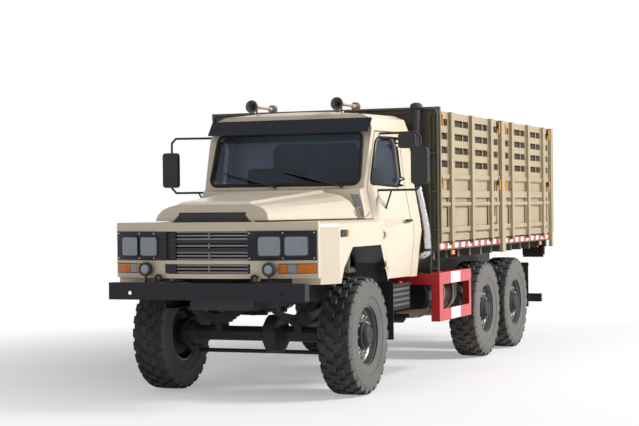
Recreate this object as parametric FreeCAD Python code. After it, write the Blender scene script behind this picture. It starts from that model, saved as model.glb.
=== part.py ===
import FreeCAD, Part
import math
import os

# Bonneted six-wheel-drive cargo truck, in millimetres.
# The front faces -Y, the truck's left side is +X and Z is up.
# Lengths along the truck are measured from the front axle, and the finished
# pieces are moved so that the origin lies on the ground under the middle.

# Wheels and axles
TYRE_RADIUS = 533.0
TYRE_WIDTH = 318.0
BEAD_RADIUS = 266.0
RIM_FLANGE_RADIUS = 292.0
RIM_WIDTH = 256.0
RIM_WALL = 14.0
DISC_WALL = 16.0
DISC_OFFSET = 44.0
HUB_RADIUS = 92.0
HUB_NOSE = 158.0
HUB_FLANGE_RADIUS = 122.0
BOLT_CIRCLE_RADIUS = 167.5
WHEEL_BOLT_COUNT = 10
WHEEL_BOLT_RADIUS = 15.0
TRACK = 1820.0
MIDDLE_AXLE_Y = 3870.0
BOGIE_SPREAD = 1250.0
AXLE_TUBE_RADIUS = 68.0
SPINDLE_RADIUS = 45.0
BEARING_CLEARANCE = 0.05
DIFF_RADIUS = 178.0
DIFF_WIDTH = 250.0
DIFF_OFFSET_X = 150.0
DRUM_RADIUS = 205.0
DRUM_WIDTH = 150.0

# Steering
KINGPIN_X = 720.0
KINGPIN_RADIUS = 18.0
BALL_RADIUS = 118.0
BALL_CLEARANCE = 2.0
KNUCKLE_WALL = 22.0
STEER_ARM_LENGTH = 220.0
STEER_ARM_Z = 386.0
STEER_ARM_WIDTH = 46.0
STEER_ARM_THICKNESS = 26.0
TIE_ROD_RADIUS = 19.0
TIE_PIN_RADIUS = 14.0

# Ladder frame
RAIL_OUTER_X = 432.0
RAIL_HEIGHT = 240.0
RAIL_FLANGE = 75.0
RAIL_WALL = 8.0
RAIL_TOP_Z = 1060.0
RAIL_FRONT_Y = -1080.0
RAIL_REAR_Y = 6200.0
CROSS_MEMBER_STATIONS = (-980.0, 1180.0, 2450.0, 3500.0, 4495.0, 5500.0, 6130.0)
CROSS_MEMBER_DEPTH = 70.0
CROSS_MEMBER_HEIGHT = 110.0
FACE_GAP = 0.3

# Bumper
BUMPER_FRONT_Y = -1185.0
BUMPER_HALF_WIDTH = 926.0
BUMPER_BOTTOM_Z = 906.0
BUMPER_HEIGHT = 148.0
BUMPER_DEPTH = 95.0
BUMPER_WALL = 8.0
BUMPER_BRACKET_REACH = 80.0
BUMPER_HOLE_X = 720.0
BUMPER_HOLE_RADIUS = 17.0
HOOK_X = 455.0
HOOK_RADIUS = 12.0
FOG_LAMP_X = 585.0
FOG_LAMP_RADIUS = 61.0

# Springs
SPRING_X = 395.0
SPRING_WIDTH = 75.0
SPRING_LEAF = 13.0
SPRING_LEAF_COUNT = 7
FRONT_SPRING_HALF = 640.0
FRONT_SPRING_SAG = 95.0
BOGIE_SPRING_SAG = 60.0
TRUNNION_RADIUS = 62.0

# Power line
ENGINE_HALF_WIDTH = 310.0
ENGINE_FRONT_Y = -840.0
ENGINE_LENGTH = 1150.0
ENGINE_BOTTOM_Z = 800.0
ENGINE_TOP_Z = 1480.0
GEARBOX_HALF_WIDTH = 190.0
GEARBOX_LENGTH = 620.0
GEARBOX_TOP_Z = 1030.0
GEARBOX_OUTPUT_Z = 845.0
RADIATOR_HALF_WIDTH = 350.0
RADIATOR_FRONT_Y = -1010.0
RADIATOR_DEPTH = 80.0
RADIATOR_BOTTOM_Z = 1070.0
RADIATOR_TOP_Z = 1500.0
TRANSFER_Y = 2000.0
TRANSFER_LENGTH = 380.0
TRANSFER_HALF_WIDTH = 240.0
TRANSFER_BOTTOM_Z = 520.0
TRANSFER_TOP_Z = 960.0
SHAFT_RADIUS = 42.0

# Side equipment
TANK_RADIUS = 225.0
TANK_X = 880.0
TANK_Z = 800.0
TANK_FRONT_Y = 1620.0
TANK_LENGTH = 960.0
STRAP_WIDTH = 45.0
STRAP_WALL = 6.0
GUARD_OUTER_X = 1235.0
GUARD_DEPTH = 88.0
GUARD_FRONT_Y = 1548.0
GUARD_LENGTH = 1085.0
GUARD_BOTTOM_Z = 552.0
GUARD_TOP_Z = 1032.0
GUARD_BORDER = 118.0
GUARD_WALL = 12.0
STEP_OUTER_X = 1150.0
STEP_WIDTH = 200.0
STEP_FRONT_Y = 860.0
STEP_LENGTH = 670.0
STEP_TOP_Z = 672.0
STEP_THICKNESS = 38.0
BATTERY_INNER_X = 520.0
BATTERY_OUTER_X = 990.0
BATTERY_FRONT_Y = 800.0
BATTERY_LENGTH = 560.0
BATTERY_BOTTOM_Z = 700.0
BATTERY_TOP_Z = 950.0
FLAP_INNER_X = 770.0
FLAP_OUTER_X = 1050.0
FLAP_THICKNESS = 8.0
FLAP_FRONT_Y = 690.0
FLAP_BOTTOM_Z = 440.0
UNDERRUN_Y = 6080.0
UNDERRUN_HALF_WIDTH = 1120.0
UNDERRUN_BOTTOM_Z = 480.0
UNDERRUN_HEIGHT = 100.0
UNDERRUN_DEPTH = 60.0

# Cab outer form: half widths at sill, waist, flank, belt and gutter height
SILL_Z = 1005.0
WAIST_Z = 1450.0
FLANK_Z = 1575.0
BELT_Z = 1850.0
GUTTER_Z = 2430.0
ROOF_CROWN_DROP = 6.0
ROOF_Z = 2615.0
CAB_FRONT_Y = 455.0
CAB_REAR_Y = 1460.0
FRONT_HALF_WIDTHS = (985.0, 985.0, 868.0, 800.0, 780.0)
REAR_HALF_WIDTHS = (1030.0, 1085.0, 1070.0, 1020.0, 955.0)
ROOF_SHOULDER_X = 130.0
ROOF_SHOULDER_Z = 2575.0
CAB_WALL = 52.0
ROOF_WALL = 42.0
FLOOR_TOP_Z = 1120.0
FLOOR_THICKNESS = 44.0
FLOOR_PAN_HALF = 930.0
COWL_Y = 480.0
WINDSHIELD_FOOT_Y = 552.0
WINDSHIELD_FOOT_Z = 1868.0
WINDSHIELD_HEAD_Y = 767.0
WINDSHIELD_HEAD_Z = 2470.0
ROOF_FRONT_Y = 940.0
GLASS_THICKNESS = 6.0

# Windscreen and rear window openings
SCREEN_FOOT_HALF = 768.0
SCREEN_HEAD_HALF = 745.0
SCREEN_FOOT_Z = 1905.0
SCREEN_HEAD_Z = 2395.0
SCREEN_CORNER = 70.0
REAR_WINDOW_HALF = 480.0
REAR_WINDOW_BOTTOM_Z = 1930.0
REAR_WINDOW_TOP_Z = 2330.0

# Doors
DOOR_GAP = 10.0
DOOR_HINGE_X = 1020.0
DOOR_HINGE_Y = 592.0
DOOR_REAR_Y = 1272.0
DOOR_BOTTOM_Z = 1012.0
DOOR_TOP_Z = 2402.0
DOOR_FOOT_Y = 704.0
DOOR_STRAPS = ((1150.0, 730.0), (1430.0, 650.0))
DOOR_PIN_RADIUS = 5.0
DOOR_BARREL_RADIUS = 9.0
DOOR_BARREL_HALF = 22.0
DOOR_STRAP_WALL = 10.0
DOOR_STRAP_PAD = 40.0
DOOR_LUG_HEIGHT = 14.0
DOOR_LUG_FRONT_Y = 545.0
DOOR_INNER_LIMIT_X = 700.0
ARCH_HALF_TOP = 372.0
ARCH_HALF_BOTTOM = 690.0
ARCH_TOP_Z = 1340.0
ARCH_SHOULDER_Z = 1165.0
ARCH_HALF_SHOULDER = 590.0
WINDOW_BOTTOM_Z = 1890.0
WINDOW_TOP_Z = 2345.0
WINDOW_CORNER = 60.0

# Bonnet, fenders and front panel
BONNET_FRONT_Y = -1030.0
BONNET_REAR_Y = 425.0
BONNET_FRONT_HALF = 535.0
BONNET_REAR_HALF = 800.0
BONNET_SIDE_Z = 1585.0
BONNET_FRONT_CROWN_Z = 1745.0
BONNET_REAR_CROWN_Z = 1855.0
BONNET_LIP_Z = 1610.0
BONNET_RAISE = 20.0
BONNET_EDGE = 12.0
BONNET_PANEL_REAR_HALF = 450.0
BONNET_CROWN_Y = -950.0
BONNET_WALL = 28.0
PANEL_GAP = 8.0
FENDER_OUTER_X = 1052.0
FENDER_FRONT_X = 962.0
FENDER_SHOULDER_Y = -700.0
FENDER_TOP_Z = 1572.0
FENDER_BOTTOM_Z = 1035.0
FENDER_REAR_BOTTOM_Z = 990.0
FENDER_BULGE_END_Y = 350.0
FENDER_REAR_X = 1004.0
FENDER_ROUND = 58.0
FENDER_WALL = 26.0
FENDER_INNER_X = 700.0
PANEL_CENTRE_Y = -1165.0
PANEL_END_X = 962.0
PANEL_END_Y = -960.0
PANEL_BOTTOM_Z = 1092.0
PANEL_WALL = 42.0
FENDER_FRONT_Y = PANEL_END_Y + PANEL_WALL + FACE_GAP
GRILLE_HALF_WIDTH = 405.0
GRILLE_BOTTOM_Z = 1130.0
GRILLE_TOP_Z = 1496.0
GRILLE_BAR_Z = 1215.0
GRILLE_BAR_HEIGHT = 32.0
SLAT_PITCH = 29.0
SLAT_HEIGHT = 13.0
SLAT_DEPTH = 26.0
GRILLE_RECESS = 66.0
LAMP_PANEL_INNER_X = 415.0
LAMP_PANEL_OUTER_X = 952.0
LAMP_PANEL_BOTTOM_Z = 1245.0
LAMP_PANEL_TOP_Z = 1496.0
LAMP_PANEL_PROUD = 10.0
LAMP_INNER_X = 572.0
LAMP_OUTER_X = 792.0
LAMP_Z = 1366.0
LAMP_HALF_WIDTH = 92.0
LAMP_HALF_HEIGHT = 70.0
LAMP_PROUD = 20.0
SIGNAL_INNER_X = 640.0
SIGNAL_OUTER_X = 950.0
SIGNAL_BOTTOM_Z = 1133.0
SIGNAL_TOP_Z = 1218.0

# Visor and horns
VISOR_HALF_WIDTH = 830.0
VISOR_FOOT_Y = 640.0
VISOR_FOOT_Z = 2395.0
VISOR_HEAD_Y = 755.0
VISOR_HEAD_Z = 2535.0
VISOR_WALL = 14.0
HORN_X = 447.0
HORN_FRONT_Y = 840.0
HORN_LENGTH = 560.0
HORN_Z = 2682.0
HORN_BELL_RADIUS = 64.0
HORN_TUBE_RADIUS = 13.0
HORN_DRIVER_RADIUS = 42.0

# Cab inside
SEAT_WIDTH = 500.0
SEAT_X = 430.0
SEAT_FRONT_Y = 890.0
SEAT_DEPTH = 440.0
SEAT_TOP_Z = 1520.0
SEAT_HEIGHT = 150.0
BACKREST_HEIGHT = 560.0
BACKREST_THICKNESS = 110.0
DASH_REAR_Y = 720.0
DASH_TOP_Z = 1835.0
DASH_BOTTOM_Z = 1560.0
STEERING_WHEEL_X = 420.0
STEERING_WHEEL_Y = 905.0
STEERING_WHEEL_Z = 1800.0
STEERING_WHEEL_RADIUS = 225.0
STEERING_RIM_RADIUS = 14.0
COLUMN_TILT = 38.0

# Mirrors
MIRROR_FRAME_Y = 795.0
MIRROR_OUTER_X = 1300.0
MIRROR_TOP_Z = 2385.0
MIRROR_BOTTOM_Z = 1845.0
MIRROR_TUBE_RADIUS = 11.0
MIRROR_HEAD_WIDTH = 165.0
MIRROR_HEAD_HEIGHT = 345.0
MIRROR_HEAD_DEPTH = 45.0
MIRROR_HEAD_Z = 2070.0

# Cargo body
BODY_FRONT_Y = 1596.0
BODY_REAR_Y = 6347.0
BODY_HALF_WIDTH = 1235.0
DECK_BOTTOM_Z = 1246.0
DECK_TOP_Z = 1322.0
DECK_HALF_WIDTH = 1196.0
FLOOR_SHEET = 8.0
FLOOR_SHEET_INSET = 62.0
BEARER_PITCH = 420.0
BEARER_WIDTH = 60.0
SILL_BEAM_WIDTH = 75.0
SILL_BEAM_HEIGHT = 100.0
GATE_BOTTOM_Z = 1334.0
GATE_TOP_Z = 2632.0
TIER_Z = 1985.0
GATE_SHEET = 26.0
GATE_RIB_DEPTH = 38.0
GATE_RIB_WIDTH = 92.0
GATE_RIB_PITCH = 735.0
GATE_FRAME_WIDTH = 70.0
GATE_GAP = 8.0
GATE_HINGE_INSET = 18.0
GATE_HINGE_Z = 1314.0
HINGE_PIN_RADIUS = 9.0
SLOT_ROWS = (2110.0, 2249.0, 2388.0, 2527.0)
SLOT_HEIGHT = 68.0
CORNER_POST_WIDTH = 66.0
CENTRE_POST_WIDTH = 140.0
CENTRE_POST_FOOT_Z = 1165.0
HEADBOARD_THICKNESS = 46.0
HEADBOARD_TOP_Z = 2668.0
LADDER_INNER_X = 1140.0
LADDER_OUTER_X = 1218.0
LADDER_BOTTOM_Z = 1040.0
LADDER_TOP_Z = 2610.0
LADDER_TUBE_RADIUS = 12.0
LADDER_GAP = 22.0
LADDER_RUNG_PITCH = 380.0
LADDER_FIRST_RUNG_Z = 1074.0

# Air intake behind the cab
INTAKE_X = 1000.0
INTAKE_Y = 1528.0
INTAKE_DOME_RADIUS = 62.0
INTAKE_DOME_Z = 2650.0
INTAKE_DOME_HEIGHT = 60.0
INTAKE_PIPE_RADIUS = 40.0
INTAKE_BOTTOM_Z = 1190.0
INTAKE_BRACKET_HEIGHTS = (1360.0, 1720.0)

# Small clearances and details
FOG_LAMP_Z = 1171.0
FOG_STEM_RADIUS = 10.0
FOG_LAMP_FRONT = 30.0
FOG_LAMP_REAR = 24.0
RADIATOR_INSET = 8.0
RADIATOR_TANK = 60.0
SHAFT_GAP = 8.0
FRONT_SEAT_Z = 622.0
BOGIE_SEAT_Z = 640.0
TRUNNION_Z = 640.0
HANGER_THICKNESS = 15.0
SPRING_BRACKET_LENGTH = 90.0
KNUCKLE_OVERLAP = 20.0
BOWL_FACETS = 7
DRUM_WALL = 12.0
HUB_INNER = -40.0
HUB_CAP_DEPTH = 30.0
HUB_NOSE_STEP = 42.0
HUB_END_PLAY = 0.8
DISC_DISH = 38.0
TYRE_WALL = 14.0
WHEEL_BOLT_PROUD = 16.0
TIE_ROD_GAP = 4.0
TIE_PIN_PROUD = 8.0
DOOR_PIN_MARGIN = 8.0
DOOR_BELT_Y = 612.0
DOOR_HEAD_Y = 809.0
DOOR_TOP_CORNER = 45.0
WINDOW_BORDER = 62.0
CAB_MOUNT_STATIONS = (640.0, 1380.0)
CAB_MOUNT_RADIUS = 40.0
HANDLE_X = 1062.0
HANDLE_Y = 1085.0
HANDLE_Z = 1553.0
HANDLE_LENGTH = 130.0
HANDLE_RADIUS = 11.0
HANDLE_STAND = 60.0
VISOR_BRACKET_X = 620.0
HORN_FRONT_FOOT = 130.0
HORN_REAR_FOOT = 40.0
HORN_FOOT_RADIUS = 9.0
HORN_PAD_Z = 2614.0
SEAT_BASE_INSET = 40.0
DASH_SLOPE = 50.0
COLUMN_LENGTH = 560.0
COLUMN_GAP = 30.0
COLUMN_BRACKET_Y = 185.0
COLUMN_RADIUS = 28.0
SPOKE_ANGLES = (0.0, 180.0, 270.0)
SPOKE_RADIUS = 9.0
MIRROR_TOP_FOOT_X = 815.0
MIRROR_LOW_FOOT_X = 850.0
MIRROR_TOP_RAKE = 120.0
MIRROR_STRUT_X = 1010.0
MIRROR_STRUT_LEAN = 100.0
MIRROR_STRUT_RAKE = 75.0
MIRROR_STRUT_DROP = 215.0
MIRROR_BEND = 45.0
MIRROR_HEAD_ROUND = 30.0
LOW_MIRROR_INNER_X = 1095.0
LOW_MIRROR_WIDTH = 170.0
LOW_MIRROR_HEIGHT = 150.0
SCOOP_HALF_WIDTH = 320.0
SCOOP_LIP = 12.0
SCOOP_HEIGHT = 34.0
GRILLE_SIDE_GAP = 30.0
BUFFER_WIDTH = 30.0
UPRIGHT_WIDTH = 16.0
LAMP_CORNER = 26.0
TANK_END_ROUND = 30.0
STRAP_ARM_LOW = 60.0
STRAP_ARM_HIGH = 110.0
BATTERY_LID = 12.0
STEP_ARM_WIDTH = 60.0
FLAP_REAR_GAP = 80.0
FLAP_DROP = 80.0
HEADBOARD_RIB_COUNT = 6
RIB_BULGE = 14.0
BULGE_LOW_Z = 1772.0
BULGE_HIGH_Z = 1844.0
TIER_FLANGE = 22.0
SLOT_MARGIN = 24.0
GATE_HOLE_INSET = 100.0
GATE_HOLE_WIDTH = 62.0
LOW_HOLE_HEIGHT = 105.0
LOW_HOLE_ROWS = (1450.0, 1620.0, 1900.0)
PIN_LUG = 16.0
PIN_LUG_GAP = 5.0

# Facets round turned forms, and the tread
TURNED_FACETS = 16
ROD_FACETS = 10
BALL_FACETS = 6
POINT_GAP = 0.001
NUT_FACETS = 6
RIM_FACETS = 16
CORNER_FACETS = 3
LEAF_FACETS = 6
BOW_FACETS = 8
LUG_COUNT = 22
LUG_SHARE = 0.5
LUG_DEPTH = 22.0

MODEL_SHIFT_Y = -(BUMPER_FRONT_Y + BODY_REAR_Y) / 2.0
AXLE_STATIONS = (0.0, MIDDLE_AXLE_Y, MIDDLE_AXLE_Y + BOGIE_SPREAD)
AXLE_NAMES = ("front", "middle", "rear")
SIDES = {"left": 1.0, "right": -1.0}
X_DIRECTION = FreeCAD.Vector(1, 0, 0)
Y_DIRECTION = FreeCAD.Vector(0, 1, 0)
Z_DIRECTION = FreeCAD.Vector(0, 0, 1)


def vec(x, y, z):
    """Shorthand for a point or direction."""
    return FreeCAD.Vector(x, y, z)


def box(x_low, x_high, y_low, y_high, z_low, z_high):
    """Block between two corners."""
    return Part.makeBox(x_high - x_low, y_high - y_low, z_high - z_low, vec(x_low, y_low, z_low))


def prism(points, direction):
    """Closed polygon pushed along a direction."""
    outline = Part.makePolygon(list(points) + [points[0]])
    return Part.Face(outline).extrude(direction)


def prism_x(outline_yz, x_low, x_high):
    """Outline of (y, z) pairs pushed from one x to another."""
    points = [vec(x_low, y, z) for y, z in outline_yz]
    return prism(points, vec(x_high - x_low, 0, 0))


def prism_y(outline_xz, y_low, y_high):
    """Outline of (x, z) pairs pushed from one y to another."""
    points = [vec(x, y_low, z) for x, z in outline_xz]
    return prism(points, vec(0, y_high - y_low, 0))


def prism_z(outline_xy, z_low, z_high):
    """Outline of (x, y) pairs pushed from one z to another."""
    points = [vec(x, y, z_low) for x, y in outline_xy]
    return prism(points, vec(0, 0, z_high - z_low))


def closed_solid(polygons):
    """Solid bounded by flat polygons."""
    faces = [Part.Face(Part.makePolygon(list(corners) + [corners[0]])) for corners in polygons]
    whole = Part.makeCompound(faces)
    whole.sewShape()
    solid = Part.makeSolid(whole.Shells[0])
    if solid.Volume < 0.0:
        solid.reverse()
    return solid


def band(first, second):
    """Flat polygons between two rings of as many corners, which may shrink to a point."""
    polygons = []
    count = len(first)
    for index in range(count):
        corners = []
        for corner in (first[index], first[(index + 1) % count], second[(index + 1) % count], second[index]):
            if all(corner.distanceToPoint(other) > POINT_GAP for other in corners):
                corners.append(corner)
        if len(corners) == 4:
            normal = (corners[1] - corners[0]).cross(corners[2] - corners[0])
            if abs(normal.dot(corners[3] - corners[0])) > POINT_GAP * normal.Length:
                polygons.append([corners[0], corners[2], corners[3]])
                corners = corners[:3]
        if len(corners) > 2:
            polygons.append(corners)
    return polygons


def skinned(rings):
    """Solid through a row of rings, closed by its first and last."""
    polygons = [rings[0], rings[-1]]
    for first, second in zip(rings, rings[1:]):
        polygons += band(first, second)
    return closed_solid(polygons)


def ring_points(centre, axis, radius, facets):
    """Corners of a regular ring that stands square to an axis."""
    helper = Z_DIRECTION if abs(axis.z) < 0.9 * axis.Length else X_DIRECTION
    first = axis.cross(helper)
    first.normalize()
    second = axis.cross(first)
    second.normalize()
    points = []
    for index in range(facets):
        angle = 2.0 * math.pi * (index + 0.5) / facets
        points.append(centre + first * (radius * math.cos(angle)) + second * (radius * math.sin(angle)))
    return points


def rod(start, end, radius, facets=ROD_FACETS):
    """Round bar between two points, its facets' corners on the radius."""
    return prism(ring_points(start, end - start, radius, facets), end - start)


def bore(start, end, radius, facets=ROD_FACETS):
    """Cutter for a hole in which a bar of the same facets turns freely."""
    return rod(start, end, (radius + BEARING_CLEARANCE) / math.cos(math.pi / facets), facets)


def bent_rod(points, radius, facets=ROD_FACETS):
    """Round bar through a list of points, mitred at each bend."""
    rings = [ring_points(points[0], points[1] - points[0], radius, facets)]
    for index in range(1, len(points)):
        along = points[index] - points[index - 1]
        along.normalize()
        normal = along
        if index < len(points) - 1:
            ahead = points[index + 1] - points[index]
            ahead.normalize()
            normal = along + ahead
        steps = [(points[index] - corner).dot(normal) / along.dot(normal) for corner in rings[-1]]
        rings.append([corner + along * step for corner, step in zip(rings[-1], steps)])
    return skinned(rings)


def turned(profile, centre, axis, facets=TURNED_FACETS):
    """Profile of (along, radius) pairs turned once about an axis, in flat facets."""
    rings = [ring_points(centre + axis * along, axis, radius, facets) for along, radius in profile]
    polygons = []
    for index, ring in enumerate(rings):
        following = (index + 1) % len(rings)
        if profile[index][1] > 0.0 or profile[following][1] > 0.0:
            polygons += band(ring, rings[following])
    return closed_solid(polygons).removeSplitter()


def ball(centre, radius, facets=TURNED_FACETS):
    """Ball of flat facets with its corners on the radius."""
    profile = []
    for index in range(BALL_FACETS + 1):
        angle = math.pi * index / BALL_FACETS
        profile.append((-radius * math.cos(angle), radius * math.sin(angle) if 0 < index < BALL_FACETS
                        else 0.0))
    return turned(profile, centre, X_DIRECTION, facets)


def fused(pieces):
    """One solid from pieces that meet."""
    result = pieces[0]
    if len(pieces) > 1:
        result = result.multiFuse(pieces[1:])
    return result.removeSplitter()


def mirrored(shape):
    """The same piece on the other side of the truck."""
    return shape.mirror(vec(0, 0, 0), X_DIRECTION)


def both_sides(shape):
    """A piece and its mirror image, as separate solids."""
    return Part.makeCompound([shape, mirrored(shape)])


def on_side(shape, side):
    """A piece modelled on the left, put on the named side."""
    return shape if side == "left" else mirrored(shape)


def round_outline(x_low, x_high, z_low, z_high, corner):
    """Rectangle of (x, z) points with its corners rounded in short flats."""
    points = []
    for x, z, start in ((x_high - corner, z_high - corner, 0.0), (x_low + corner, z_high - corner, 90.0),
                        (x_low + corner, z_low + corner, 180.0), (x_high - corner, z_low + corner, 270.0)):
        for index in range(CORNER_FACETS + 1):
            angle = math.radians(start + 90.0 * index / CORNER_FACETS)
            points.append((x + corner * math.cos(angle), z + corner * math.sin(angle)))
    return points


# Ladder frame

def chassis_rails():
    """Two channel rails that open inwards."""
    outer = box(RAIL_OUTER_X - RAIL_FLANGE, RAIL_OUTER_X, RAIL_FRONT_Y, RAIL_REAR_Y,
                RAIL_TOP_Z - RAIL_HEIGHT, RAIL_TOP_Z)
    hollow = box(RAIL_OUTER_X - RAIL_FLANGE - RAIL_WALL, RAIL_OUTER_X - RAIL_WALL, RAIL_FRONT_Y, RAIL_REAR_Y,
                 RAIL_TOP_Z - RAIL_HEIGHT + RAIL_WALL, RAIL_TOP_Z - RAIL_WALL)
    return both_sides(outer.cut(hollow))


def cross_members():
    """Channels across the frame, each with its ends against the rail webs."""
    half = RAIL_OUTER_X - RAIL_WALL
    high = RAIL_TOP_Z - RAIL_WALL
    low = high - CROSS_MEMBER_HEIGHT
    pieces = []
    for station in CROSS_MEMBER_STATIONS:
        outer = box(-half, half, station, station + CROSS_MEMBER_DEPTH, low, high)
        hollow = box(-half, half, station + RAIL_WALL, station + CROSS_MEMBER_DEPTH,
                     low + RAIL_WALL, high - RAIL_WALL)
        pieces.append(outer.cut(hollow))
    return Part.makeCompound(pieces)


def front_bumper():
    """Pressed channel with two holes, its brackets, the tow hooks and the fog lamp stems."""
    top_z = BUMPER_BOTTOM_Z + BUMPER_HEIGHT
    back_y = BUMPER_FRONT_Y + BUMPER_DEPTH
    outer = box(-BUMPER_HALF_WIDTH, BUMPER_HALF_WIDTH, BUMPER_FRONT_Y, back_y, BUMPER_BOTTOM_Z, top_z)
    hollow = box(-BUMPER_HALF_WIDTH + BUMPER_WALL, BUMPER_HALF_WIDTH - BUMPER_WALL,
                 BUMPER_FRONT_Y + BUMPER_WALL,
                 back_y, BUMPER_BOTTOM_Z + BUMPER_WALL, top_z - BUMPER_WALL)
    channel = outer.cut(hollow)
    for side in (-1.0, 1.0):
        start = vec(side * BUMPER_HOLE_X, BUMPER_FRONT_Y - 1.0, BUMPER_BOTTOM_Z + BUMPER_HEIGHT * 0.4)
        channel = channel.cut(Part.makeCylinder(BUMPER_HOLE_RADIUS, BUMPER_WALL + 2.0, start, Y_DIRECTION))
    pieces = [channel]
    inner_x = RAIL_OUTER_X - RAIL_FLANGE + RAIL_WALL
    for side in (-1.0, 1.0):
        low_x = min(side * inner_x, side * (RAIL_OUTER_X - RAIL_WALL))
        high_x = max(side * inner_x, side * (RAIL_OUTER_X - RAIL_WALL))
        pieces.append(box(low_x, high_x, BUMPER_FRONT_Y + BUMPER_WALL, RAIL_FRONT_Y + BUMPER_BRACKET_REACH,
                          BUMPER_BOTTOM_Z + BUMPER_WALL, top_z - BUMPER_WALL))
        pieces.append(tow_hook(side * HOOK_X, top_z))
        stem_top_z = FOG_LAMP_Z - FOG_LAMP_RADIUS * math.cos(math.pi / TURNED_FACETS) - FACE_GAP
        pieces.append(rod(vec(side * FOG_LAMP_X, BUMPER_FRONT_Y + BUMPER_DEPTH / 2.0, top_z - BUMPER_WALL),
                          vec(side * FOG_LAMP_X, BUMPER_FRONT_Y + BUMPER_DEPTH / 2.0, stem_top_z),
                          FOG_STEM_RADIUS))
    return fused(pieces)


def tow_hook(x, base_z):
    """Round bar hook that stands on the bumper and curls over to the side."""
    y = BUMPER_FRONT_Y + 2.5 * HOOK_RADIUS
    top_z = base_z + 6.0 * HOOK_RADIUS
    reach = 2.0 * HOOK_RADIUS
    points = [vec(x - reach, y, base_z - BUMPER_WALL), vec(x - reach, y, top_z - 1.5 * HOOK_RADIUS),
              vec(x, y, top_z - HOOK_RADIUS / 2.0), vec(x + reach, y, top_z - 1.5 * HOOK_RADIUS),
              vec(x + reach, y, top_z - 3.0 * HOOK_RADIUS)]
    return bent_rod(points, HOOK_RADIUS)


def rear_underrun():
    """Bar across the rear on two hangers under the rails."""
    bar = box(-UNDERRUN_HALF_WIDTH, UNDERRUN_HALF_WIDTH, UNDERRUN_Y, UNDERRUN_Y + UNDERRUN_DEPTH,
              UNDERRUN_BOTTOM_Z, UNDERRUN_BOTTOM_Z + UNDERRUN_HEIGHT)
    hangers = []
    for side in (-1.0, 1.0):
        centre = side * (RAIL_OUTER_X - RAIL_FLANGE / 2.0)
        hangers.append(box(centre - UNDERRUN_DEPTH / 2.0, centre + UNDERRUN_DEPTH / 2.0, UNDERRUN_Y,
                           UNDERRUN_Y + UNDERRUN_DEPTH, UNDERRUN_BOTTOM_Z, RAIL_TOP_Z - RAIL_HEIGHT))
    return fused([bar] + hangers)


# Power line

def engine_block():
    """Engine and gearbox as one plain block between the rails, on its mounts."""
    rear_y = ENGINE_FRONT_Y + ENGINE_LENGTH
    engine = box(-ENGINE_HALF_WIDTH, ENGINE_HALF_WIDTH, ENGINE_FRONT_Y, rear_y, ENGINE_BOTTOM_Z,
                 ENGINE_TOP_Z)
    gearbox = box(-GEARBOX_HALF_WIDTH, GEARBOX_HALF_WIDTH, rear_y, rear_y + GEARBOX_LENGTH,
                  ENGINE_BOTTOM_Z, GEARBOX_TOP_Z)
    mount_half = RAIL_OUTER_X - RAIL_WALL
    mount_y = ENGINE_FRONT_Y + ENGINE_LENGTH * 0.5
    mount = box(-mount_half, mount_half, mount_y - RAIL_FLANGE, mount_y + RAIL_FLANGE,
                RAIL_TOP_Z - RAIL_HEIGHT / 2.0, RAIL_TOP_Z - RAIL_FLANGE)
    return fused([engine, gearbox, mount])


def radiator():
    """Radiator core with its top and bottom tanks, on the front cross member."""
    rear_y = RADIATOR_FRONT_Y + RADIATOR_DEPTH
    core = box(-RADIATOR_HALF_WIDTH, RADIATOR_HALF_WIDTH, RADIATOR_FRONT_Y + RADIATOR_INSET,
               rear_y - RADIATOR_INSET,
               RADIATOR_BOTTOM_Z, RADIATOR_TOP_Z)
    pieces = [core]
    for low in (RADIATOR_BOTTOM_Z, RADIATOR_TOP_Z - RADIATOR_TANK):
        pieces.append(box(-RADIATOR_HALF_WIDTH, RADIATOR_HALF_WIDTH, RADIATOR_FRONT_Y, rear_y,
                          low, low + RADIATOR_TANK))
    pieces.append(box(-RADIATOR_HALF_WIDTH / 2.0, RADIATOR_HALF_WIDTH / 2.0,
                      RADIATOR_FRONT_Y + RADIATOR_INSET,
                      rear_y - RADIATOR_INSET, RAIL_TOP_Z - RAIL_WALL, RADIATOR_BOTTOM_Z))
    return fused(pieces)


def driveline():
    """Transfer case on its cross beam, with the propeller shafts to the three axles."""
    rear_y = TRANSFER_Y + TRANSFER_LENGTH
    middle_z = (TRANSFER_BOTTOM_Z + TRANSFER_TOP_Z) / 2.0
    case = box(-TRANSFER_HALF_WIDTH, TRANSFER_HALF_WIDTH, TRANSFER_Y, rear_y, TRANSFER_BOTTOM_Z,
               TRANSFER_TOP_Z)
    beam_half = RAIL_OUTER_X - RAIL_WALL
    beam = box(-beam_half, beam_half, TRANSFER_Y + TRANSFER_LENGTH / 3.0,
               TRANSFER_Y + TRANSFER_LENGTH * 2.0 / 3.0,
               TRANSFER_TOP_Z - RAIL_FLANGE, TRANSFER_TOP_Z)
    gearbox_rear = ENGINE_FRONT_Y + ENGINE_LENGTH + GEARBOX_LENGTH
    shafts = [rod(vec(0, gearbox_rear + SHAFT_GAP, GEARBOX_OUTPUT_Z),
                  vec(0, TRANSFER_Y, middle_z + TRANSFER_HALF_WIDTH / 2.0), SHAFT_RADIUS),
              rod(vec(DIFF_OFFSET_X, DIFF_RADIUS + SHAFT_GAP, TYRE_RADIUS),
                  vec(DIFF_OFFSET_X, TRANSFER_Y, middle_z - TRANSFER_HALF_WIDTH / 2.0), SHAFT_RADIUS),
              rod(vec(0, rear_y, middle_z), vec(0, MIDDLE_AXLE_Y - DIFF_RADIUS - SHAFT_GAP, TYRE_RADIUS),
                  SHAFT_RADIUS)]
    return fused([case, beam] + shafts)


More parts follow.
